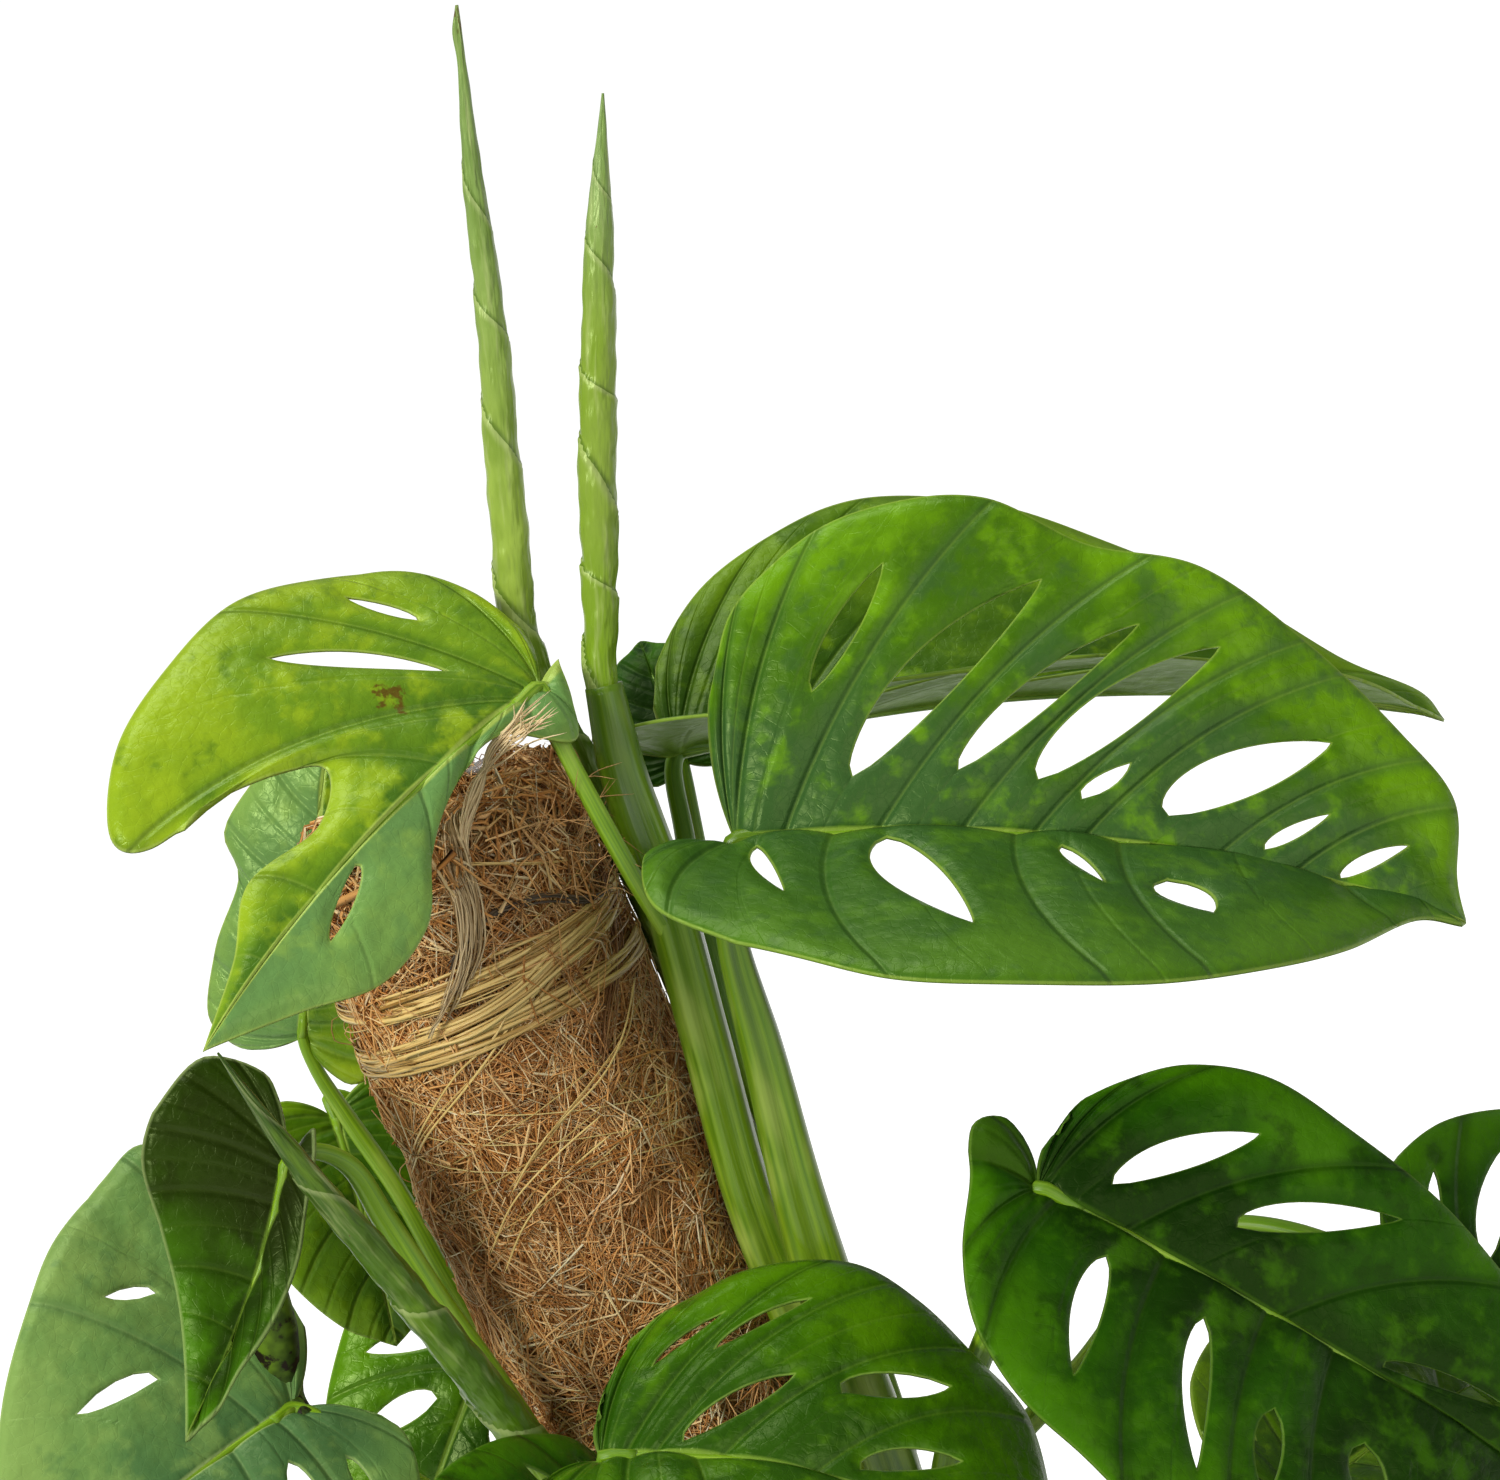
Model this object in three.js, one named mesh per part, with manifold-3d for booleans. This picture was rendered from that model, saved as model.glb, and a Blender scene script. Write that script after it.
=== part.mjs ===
// Potted monkey mask monstera climbing a coir pole.
// Millimetres, +Z up, origin in the middle of the pot's base, -Y towards the viewer.
import * as THREE from 'three';
import { mergeVertices } from 'three/addons/utils/BufferGeometryUtils.js';
import Module from 'manifold-3d';

// Driving dimensions of the pot and its soil
const POT_HEIGHT = 170;
const POT_TOP_RADIUS = 95;
const POT_BASE_RADIUS = 70;
const POT_WALL = 1.8;
const POT_FLOOR = 2.7;
const POT_RIM_WIDTH = 5;
const POT_RIM_DEPTH = 14;
const DRAIN_HOLES = 8;
const DRAIN_RADIUS = 5;
const DRAIN_CIRCLE = 48;
const SOIL_LEVEL = 150;
const SOIL_MOUND = 5;

// Driving dimensions of the climbing pole, a coir sleeve on a plastic pipe
const POLE_TOP = 466;
const POLE_FOOT = 40;
const COIR_RADIUS = 29.2;
const COIR_SHOULDER = 4.5;
const PIPE_RADIUS = 19;
const PIPE_WALL = 1.6;
const PIPE_RECESS = 12;
const CAP_THICKNESS = 2;
const CAP_SPIGOT = 6;
const TIE_HEIGHT = 4;
const TIE_THICKNESS = 0.9;
const TIE_LEVELS = { upper: 438, lower: 428 };
const TIE_TILT = 0.045;

// Clearance between touching pieces, and the blade thickness of every leaf
const GAP = 0.3;
const BLADE = 1;

// Roundness of the turned and swept solids
const POT_SIDES = 32;
const POLE_SIDES = 32;
const STALK_SIDES = 6;
const VINE_SHAPE = { sides: 9, steps: 6 };

const wasm = await Module();
wasm.setup();

// Closed geometry to a solid for joining and cutting, and back
function solid(geometry) {
  const bare = geometry.clone();
  bare.deleteAttribute('normal');
  bare.deleteAttribute('uv');
  const merged = mergeVertices(bare, 1e-4);
  return new wasm.Manifold(new wasm.Mesh({
    numProp: 3,
    vertProperties: new Float32Array(merged.attributes.position.array),
    triVerts: new Uint32Array(merged.index.array),
  }));
}

function geometryOf(manifold) {
  const mesh = manifold.getMesh();
  const geometry = new THREE.BufferGeometry();
  geometry.setAttribute('position', new THREE.BufferAttribute(new Float32Array(mesh.vertProperties), 3));
  geometry.setIndex(new THREE.BufferAttribute(new Uint32Array(mesh.triVerts), 1));
  geometry.computeVertexNormals();
  return geometry;
}

const part = new THREE.Group();
part.name = 'potted_monkey_mask_monstera';

function place(name, manifold, colour, roughness) {
  const material = new THREE.MeshStandardMaterial({ color: colour, roughness, metalness: 0 });
  const mesh = new THREE.Mesh(geometryOf(manifold), material);
  mesh.name = name;
  part.add(mesh);
}

// Turned solid from [radius, height] pairs that start and end on the axis or close on themselves
function turned(profile, sides) {
  const points = profile.map(([radius, height]) => new THREE.Vector2(radius, height));
  return solid(new THREE.LatheGeometry(points, sides).rotateX(Math.PI / 2));
}

// Stems, petioles and rolled leaves: a round section swept along a curve with radii spread evenly on it
function stalk(points, radii, { sides = STALK_SIDES, steps = 7, grow = 0 } = {}) {
  const path = new THREE.CatmullRomCurve3(points.map((point) => new THREE.Vector3(...point)));
  const frames = path.computeFrenetFrames(steps);
  const positions = [];
  for (let step = 0; step <= steps; step += 1) {
    const along = step / steps;
    const spot = along * (radii.length - 1);
    const slot = Math.min(Math.floor(spot), radii.length - 2);
    const radius = THREE.MathUtils.lerp(radii[slot], radii[slot + 1], spot - slot) + grow;
    const centre = path.getPointAt(along);
    for (let side = 0; side < sides; side += 1) {
      const turn = (side / sides) * Math.PI * 2;
      const ring = centre.clone()
        .addScaledVector(frames.normals[step], Math.cos(turn) * radius)
        .addScaledVector(frames.binormals[step], Math.sin(turn) * radius);
      positions.push(...ring.toArray());
    }
  }
  const foot = positions.length / 3;
  positions.push(...path.getPointAt(0).toArray(), ...path.getPointAt(1).toArray());
  const index = [];
  for (let side = 0; side < sides; side += 1) {
    const next = (side + 1) % sides;
    for (let step = 0; step < steps; step += 1) {
      const low = step * sides;
      const high = low + sides;
      index.push(low + side, low + next, high + next, low + side, high + next, high + side);
    }
    index.push(foot, next, side);
    index.push(foot + 1, steps * sides + side, steps * sides + next);
  }
  const geometry = new THREE.BufferGeometry();
  geometry.setAttribute('position', new THREE.Float32BufferAttribute(positions, 3));
  geometry.setIndex(index);
  return solid(geometry);
}

// Nursery pot: one moulded plastic shell with a deep collar at its rim and drain holes in its floor
const potRadiusAt = (height) => THREE.MathUtils.lerp(POT_BASE_RADIUS, POT_TOP_RADIUS, height / POT_HEIGHT);
const collarFoot = POT_HEIGHT - POT_RIM_DEPTH;
let pot = turned([
  [0, 0],
  [POT_BASE_RADIUS, 0],
  [potRadiusAt(collarFoot), collarFoot],
  [potRadiusAt(collarFoot) + POT_RIM_WIDTH, collarFoot + 1],
  [POT_TOP_RADIUS + POT_RIM_WIDTH, POT_HEIGHT - 2],
  [POT_TOP_RADIUS + POT_RIM_WIDTH - 2, POT_HEIGHT],
  [POT_TOP_RADIUS - POT_WALL, POT_HEIGHT],
  [POT_BASE_RADIUS - POT_WALL, POT_FLOOR],
  [0, POT_FLOOR],
], POT_SIDES);
for (let hole = 0; hole < DRAIN_HOLES; hole += 1) {
  const turn = ((hole + 0.5) / DRAIN_HOLES) * Math.PI * 2;
  const drill = new THREE.CylinderGeometry(DRAIN_RADIUS, DRAIN_RADIUS, POT_FLOOR * 4, 8)
    .rotateX(Math.PI / 2)
    .translate(Math.cos(turn) * DRAIN_CIRCLE, Math.sin(turn) * DRAIN_CIRCLE, 0);
  pot = pot.subtract(solid(drill));
}
place('pot', pot, '#4b3a30', 0.6);

// Vines: four rooted stems that stand in the soil and hug the pole; the leaf stalks grow out of them
const vines = {
  vine_right: { points: [[32, -21, 60], [32, -21, 200], [32, -21, 318]], radii: [5.5, 6.2, 6.5] },
  vine_left: { points: [[-26, -26, 60], [-26, -26, 190], [-26, -26, 332]], radii: [5, 5.4, 5.2] },
  vine_back_left: { points: [[-29, 24, 60], [-29, 24, 200], [-29, 24, 345]], radii: [5, 5, 4.6] },
  vine_back_right: { points: [[27, 27, 60], [27, 27, 200], [27, 27, 330]], radii: [5, 5, 4.6] },
};
const grownVines = {};
for (const [name, { points, radii }] of Object.entries(vines)) {
  place(name, stalk(points, radii, VINE_SHAPE), '#6f9a33', 0.45);
  grownVines[name] = stalk(points, radii, { ...VINE_SHAPE, grow: GAP });
}

// Soil: one mounded fill with a plain hole for the pole and each vine
const soilFoot = POT_FLOOR + GAP;
const soilRadiusAt = (height) => potRadiusAt(height) - POT_WALL - GAP * 2;
let soil = turned([
  [0, soilFoot],
  [soilRadiusAt(0), soilFoot],
  [soilRadiusAt(SOIL_LEVEL), SOIL_LEVEL],
  [COIR_RADIUS * 2, SOIL_LEVEL + SOIL_MOUND],
  [0, SOIL_LEVEL + SOIL_MOUND],
], POT_SIDES);
const poleHole = new THREE.CylinderGeometry(COIR_RADIUS + GAP, COIR_RADIUS + GAP, POT_HEIGHT * 2, POLE_SIDES)
  .rotateX(Math.PI / 2)
  .translate(0, 0, POLE_FOOT - GAP + POT_HEIGHT);
soil = soil.subtract(solid(poleHole));
for (const hole of Object.values(grownVines)) soil = soil.subtract(hole);
place('soil', soil, '#3a2a1e', 0.95);

// Pole: a coir sleeve with rounded shoulders, pushed over a plastic pipe with a flat end cap
const pipeTop = POLE_TOP - PIPE_RECESS;
const sleeveBore = PIPE_RADIUS + GAP;
const shoulder = [0, 30, 60, 90].map((degrees) => {
  const turn = THREE.MathUtils.degToRad(degrees);
  return [
    COIR_RADIUS - COIR_SHOULDER * (1 - Math.cos(turn)),
    POLE_TOP - COIR_SHOULDER * (1 - Math.sin(turn)),
  ];
});
place('coir_sleeve', turned([
  [sleeveBore, POLE_FOOT],
  [COIR_RADIUS, POLE_FOOT],
  ...shoulder,
  [sleeveBore + 2, POLE_TOP],
  [sleeveBore, POLE_TOP - 2],
  [sleeveBore, POLE_FOOT],
], POLE_SIDES), '#9a6b3d', 0.95);
place('core_pipe', turned([
  [PIPE_RADIUS - PIPE_WALL, POLE_FOOT],
  [PIPE_RADIUS, POLE_FOOT],
  [PIPE_RADIUS, pipeTop],
  [PIPE_RADIUS - PIPE_WALL, pipeTop],
  [PIPE_RADIUS - PIPE_WALL, POLE_FOOT],
], POLE_SIDES), '#5a5148', 0.5);
const spigot = PIPE_RADIUS - PIPE_WALL - GAP;
place('core_cap', turned([
  [0, pipeTop - CAP_SPIGOT],
  [spigot, pipeTop - CAP_SPIGOT],
  [spigot, pipeTop + GAP],
  [PIPE_RADIUS, pipeTop + GAP],
  [PIPE_RADIUS, pipeTop + GAP + CAP_THICKNESS],
  [0, pipeTop + GAP + CAP_THICKNESS],
], POLE_SIDES), '#4d453d', 0.5);

// Raffia: two flat bands wound around the sleeve and a hank laid over its rim
const tieRadius = COIR_RADIUS + GAP;
for (const [name, level] of Object.entries(TIE_LEVELS)) {
  const band = new THREE.LatheGeometry([
    new THREE.Vector2(tieRadius, -TIE_HEIGHT / 2),
    new THREE.Vector2(tieRadius + TIE_THICKNESS, -TIE_HEIGHT / 2),
    new THREE.Vector2(tieRadius + TIE_THICKNESS, TIE_HEIGHT / 2),
    new THREE.Vector2(tieRadius, TIE_HEIGHT / 2),
    new THREE.Vector2(tieRadius, -TIE_HEIGHT / 2),
  ], POLE_SIDES).rotateX(Math.PI / 2).rotateY(-TIE_TILT).translate(0, 0, level);
  place(`raffia_tie_${name}`, solid(band), '#c49a4e', 0.6);
}
const hank = [
  [10, -12, 458], [8.5, -16.5, 467], [6.5, -22, 469.5], [5, -28, 469], [3.5, -31.6, 462], [2, -31.6, 445],
];
place('raffia_hank', stalk(hank, [1, 1.4, 1.4, 1], { sides: 6, steps: 12 }), '#a9825a', 0.6);
place('glue_bead', solid(new THREE.SphereGeometry(3, 10, 6).scale(1.4, 1, 0.45)
  .translate(14, 18, POLE_TOP + GAP + 1.3)), '#e8e4da', 0.1);

// Leaf blades. Each half is measured flat, along and across the midrib in millimetres: its margin
// runs from the stalk round to the tip as [midrib station, along, across], and each hole lies between
// two side veins as [start vein, start, end vein, end, half width] in parts of the margin and vein.
const PLAIN_MARGIN = [
  [0, -0.10, 0.10], [0, -0.13, 0.22], [0, -0.04, 0.36], [0.03, 0.12, 0.44], [0.10, 0.30, 0.45],
  [0.22, 0.50, 0.41], [0.40, 0.70, 0.31], [0.62, 0.86, 0.19], [0.84, 0.95, 0.07], [1, 1, 0],
];
const PLAIN_HOLES = [
  [0.31, 0.40, 0.33, 0.76, 0.024], [0.45, 0.22, 0.47, 0.78, 0.032], [0.60, 0.20, 0.62, 0.72, 0.030],
];

// A half of ordinary outline, scaled to the length of its leaf
function plainHalf(length, width, fold, { curl = -14, holes = PLAIN_HOLES } = {}) {
  const margin = PLAIN_MARGIN.map(([station, along, across]) => [
    station, along * length, across * width * length,
  ]);
  return { fold, curl, bow: 0.08, margin, holes };
}

// Margin row at a place 0..1 along it: the side vein's station on the midrib, and its far end
function marginAt(half, vein) {
  const rows = half.margin.map((row) => new THREE.Vector3(...row));
  const curve = new THREE.CatmullRomCurve3(rows, false, 'catmullrom');
  const row = curve.getPoint(THREE.MathUtils.clamp(vein, 0, 1));
  return { station: THREE.MathUtils.clamp(row.x, 0, 1), along: row.y, across: row.z };
}

// Side veins that bound the strips of a half blade: one between two holes, more where they lie far apart
function stripEdges(holes, widest) {
  const spans = holes.map(([from, , to, , half]) => [Math.min(from, to) - half, Math.max(from, to) + half]);
  const edges = [];
  let start = 0;
  for (const [low, high] of [...spans, [1, 1]]) {
    const room = low - start;
    const atStalk = start === 0;
    const atTip = low === 1;
    const cuts = Math.max(1, atStalk || atTip ? Math.ceil(room / widest) : Math.round(room / widest));
    const inset = Number(atTip) - Number(atStalk);
    for (let cut = 0; cut < cuts; cut += 1) {
      edges.push(start + (room * (cut + 0.5 + inset / 2)) / cuts);
    }
    start = high;
  }
  return spans.length ? edges : [...edges, 1];
}

// Flat point of a half blade: vein 0..1 along the margin, reach 0..1 from midrib to margin
function bladePoint(leaf, half, vein, reach) {
  const { station, along, across } = marginAt(half, vein);
  const root = station * leaf.length;
  const bow = 4 * reach * (1 - reach) * half.bow;
  return [root + (along - root) * reach - across * bow, across * reach + (along - root) * bow];
}

// Bends a flat blade point into place: arched midrib, folded and curled halves, side 1 left and -1 right
function bend(leaf, [along, across], side) {
  const station = THREE.MathUtils.clamp(along / leaf.length, 0, 1);
  const half = side > 0 ? leaf.left : leaf.right;
  const fold = THREE.MathUtils.degToRad(half.fold);
  const curl = THREE.MathUtils.degToRad(half.curl) / leaf.length;
  const out = (Math.sin(fold + curl * across) - Math.sin(fold)) / curl;
  const lift = (Math.cos(fold) - Math.cos(fold + curl * across)) / curl;
  const arch = 4 * station * (1 - station);
  return leaf.joint.clone()
    .addScaledVector(leaf.ahead, along)
    .addScaledVector(leaf.up, arch * leaf.arch + lift)
    .addScaledVector(leaf.aside, arch * leaf.sweep + side * out);
}

// One edge of a strip as [vein, reach] pairs: a side vein, or the rim of the hole beside it
function veinLine(vein, rows) {
  return Array.from({ length: rows + 1 }, (_, row) => [vein, row / rows]);
}

function holeLine([from, start, to, end, half], side, rows) {
  return veinLine(0, rows).map((_, row) => {
    if (row === 0) return [from, 0];
    if (row === rows) return [to, 1];
    const share = (row - 1) / (rows - 2);
    const width = half * Math.sin(Math.PI * share ** 0.75) ** 0.8;
    const opening = row === 1 || row === rows - 1 ? 0 : side * width;
    return [THREE.MathUtils.lerp(from, to, share) + opening, THREE.MathUtils.lerp(start, end, share)];
  });
}

// Strips of one half, each as the pair of edges that bound it, or two pairs where a hole parts it
function stripsOf(half, leaf) {
  const edges = stripEdges(half.holes, leaf.strip);
  return edges.slice(1).flatMap((high, at) => {
    const low = edges[at];
    const hole = half.holes.find(([from]) => from > low && from < high);
    const [first, last] = [veinLine(low, leaf.rows), veinLine(high, leaf.rows)];
    if (!hole) return [[first, last]];
    return [[first, holeLine(hole, -1, leaf.rows)], [holeLine(hole, 1, leaf.rows), last]];
  });
}

// Middle surface of a blade: both halves meet along the midrib, where each takes the other's vein roots
function middleSurface(leaf) {
  const points = [];
  const faces = [];
  const seen = new Map();
  const vertex = (flat, side) => {
    const point = bend(leaf, flat, side);
    const key = point.toArray().map((value) => Math.round(value * 1000)).join();
    if (!seen.has(key)) {
      seen.set(key, points.length);
      points.push(point);
    }
    return seen.get(key);
  };
  const addFace = (side, ...corners) => {
    if (new Set(corners).size === 3) faces.push(side > 0 ? corners.reverse() : corners);
  };
  const halves = [[leaf.left, 1], [leaf.right, -1]].map(([half, side]) => ({
    half, side, strips: stripsOf(half, leaf),
  }));
  const rootOf = (half, line) => marginAt(half, line[0][0]).station;
  const roots = halves.flatMap(({ half, strips }) => strips.flat().map((line) => rootOf(half, line)));
  roots.sort((a, b) => a - b);
  for (const { half, side, strips } of halves) {
    for (const strip of strips) {
      const [near, far] = strip.map((line) => (
        line.map(([vein, reach]) => vertex(bladePoint(leaf, half, vein, reach), side))
      ));
      const [from, to] = strip.map((line) => rootOf(half, line));
      const shared = roots.filter((root) => root > from + 1e-6 && root < to - 1e-6);
      const midrib = [near[0], ...shared.map((root) => vertex([root * leaf.length, 0], side)), far[0]];
      midrib.slice(1).forEach((next, at) => addFace(side, midrib[at], next, near[1]));
      addFace(side, far[0], far[1], near[1]);
      for (let row = 1; row < leaf.rows; row += 1) {
        addFace(side, near[row], far[row], far[row + 1]);
        addFace(side, near[row], far[row + 1], near[row + 1]);
      }
    }
  }
  return { points, faces };
}

// Blade of even thickness over its middle surface, with walls on the margin and round the holes
function blade(leaf) {
  const { points, faces } = middleSurface(leaf);
  const normals = points.map(() => new THREE.Vector3());
  for (const [a, b, c] of faces) {
    const normal = points[b].clone().sub(points[a]).cross(points[c].clone().sub(points[a]));
    for (const corner of [a, b, c]) normals[corner].add(normal);
  }
  normals.forEach((normal) => normal.normalize());
  const positions = [BLADE / 2, -BLADE / 2].flatMap((level) => (
    points.flatMap((point, at) => point.clone().addScaledVector(normals[at], level).toArray())
  ));
  const under = points.length;
  const directed = new Set(faces.flatMap(([a, b, c]) => [`${a},${b}`, `${b},${c}`, `${c},${a}`]));
  const index = [];
  for (const [a, b, c] of faces) {
    index.push(a, b, c, a + under, c + under, b + under);
    for (const [from, to] of [[a, b], [b, c], [c, a]]) {
      if (directed.has(`${to},${from}`)) continue;
      index.push(to, from, from + under, to, from + under, to + under);
    }
  }
  const geometry = new THREE.BufferGeometry();
  geometry.setAttribute('position', new THREE.Float32BufferAttribute(positions, 3));
  geometry.setIndex(index);
  return solid(geometry);
}

// A whole leaf: its blade and the stalks that carry it from a vine, cut to a saddle at the foot.
// A stalk whose last point is 'blade' runs on under the start of the midrib.
function leafSolid({ joint, tip, face, arch = 6, sweep = 0, rows = 5, strip = 0.16, ...leaf }) {
  const ahead = new THREE.Vector3(...tip).sub(new THREE.Vector3(...joint));
  const length = ahead.length();
  ahead.normalize();
  const up = new THREE.Vector3(...face);
  up.addScaledVector(ahead, -up.dot(ahead)).normalize();
  const shape = {
    joint: new THREE.Vector3(...joint), length, ahead, up, aside: new THREE.Vector3().crossVectors(up, ahead),
    left: leaf.left(length), right: leaf.right(length), arch, sweep, rows, strip,
  };
  const underMidrib = [0, 0.07].map((station) => (
    bend(shape, [length * station, 0], 1).addScaledVector(up, -BLADE * 0.6).toArray()
  ));
  let whole = blade(shape);
  for (const { points, radii, steps, sides } of leaf.stalks) {
    const path = points.at(-1) === 'blade' ? [...points.slice(0, -1), ...underMidrib] : points;
    whole = whole.add(stalk(path, radii, { steps, sides }));
  }
  return whole.subtract(grownVines[leaf.vine]);
}

// A half measured on its own leaf, whose margin ends at the tip
const measured = (fold, curl, bow, margin, holes = []) => (length) => (
  { fold, curl, bow, margin: [...margin, [1, length, 0]], holes }
);
const plain = (width, fold, options) => (length) => plainHalf(length, width, fold, options);

const DEEP_GREEN = '#3f7a1c';
const FRESH_GREEN = '#6ba32e';
const PALE_GREEN = '#93b83f';
const DARK_GREEN = '#2c5518';

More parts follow.
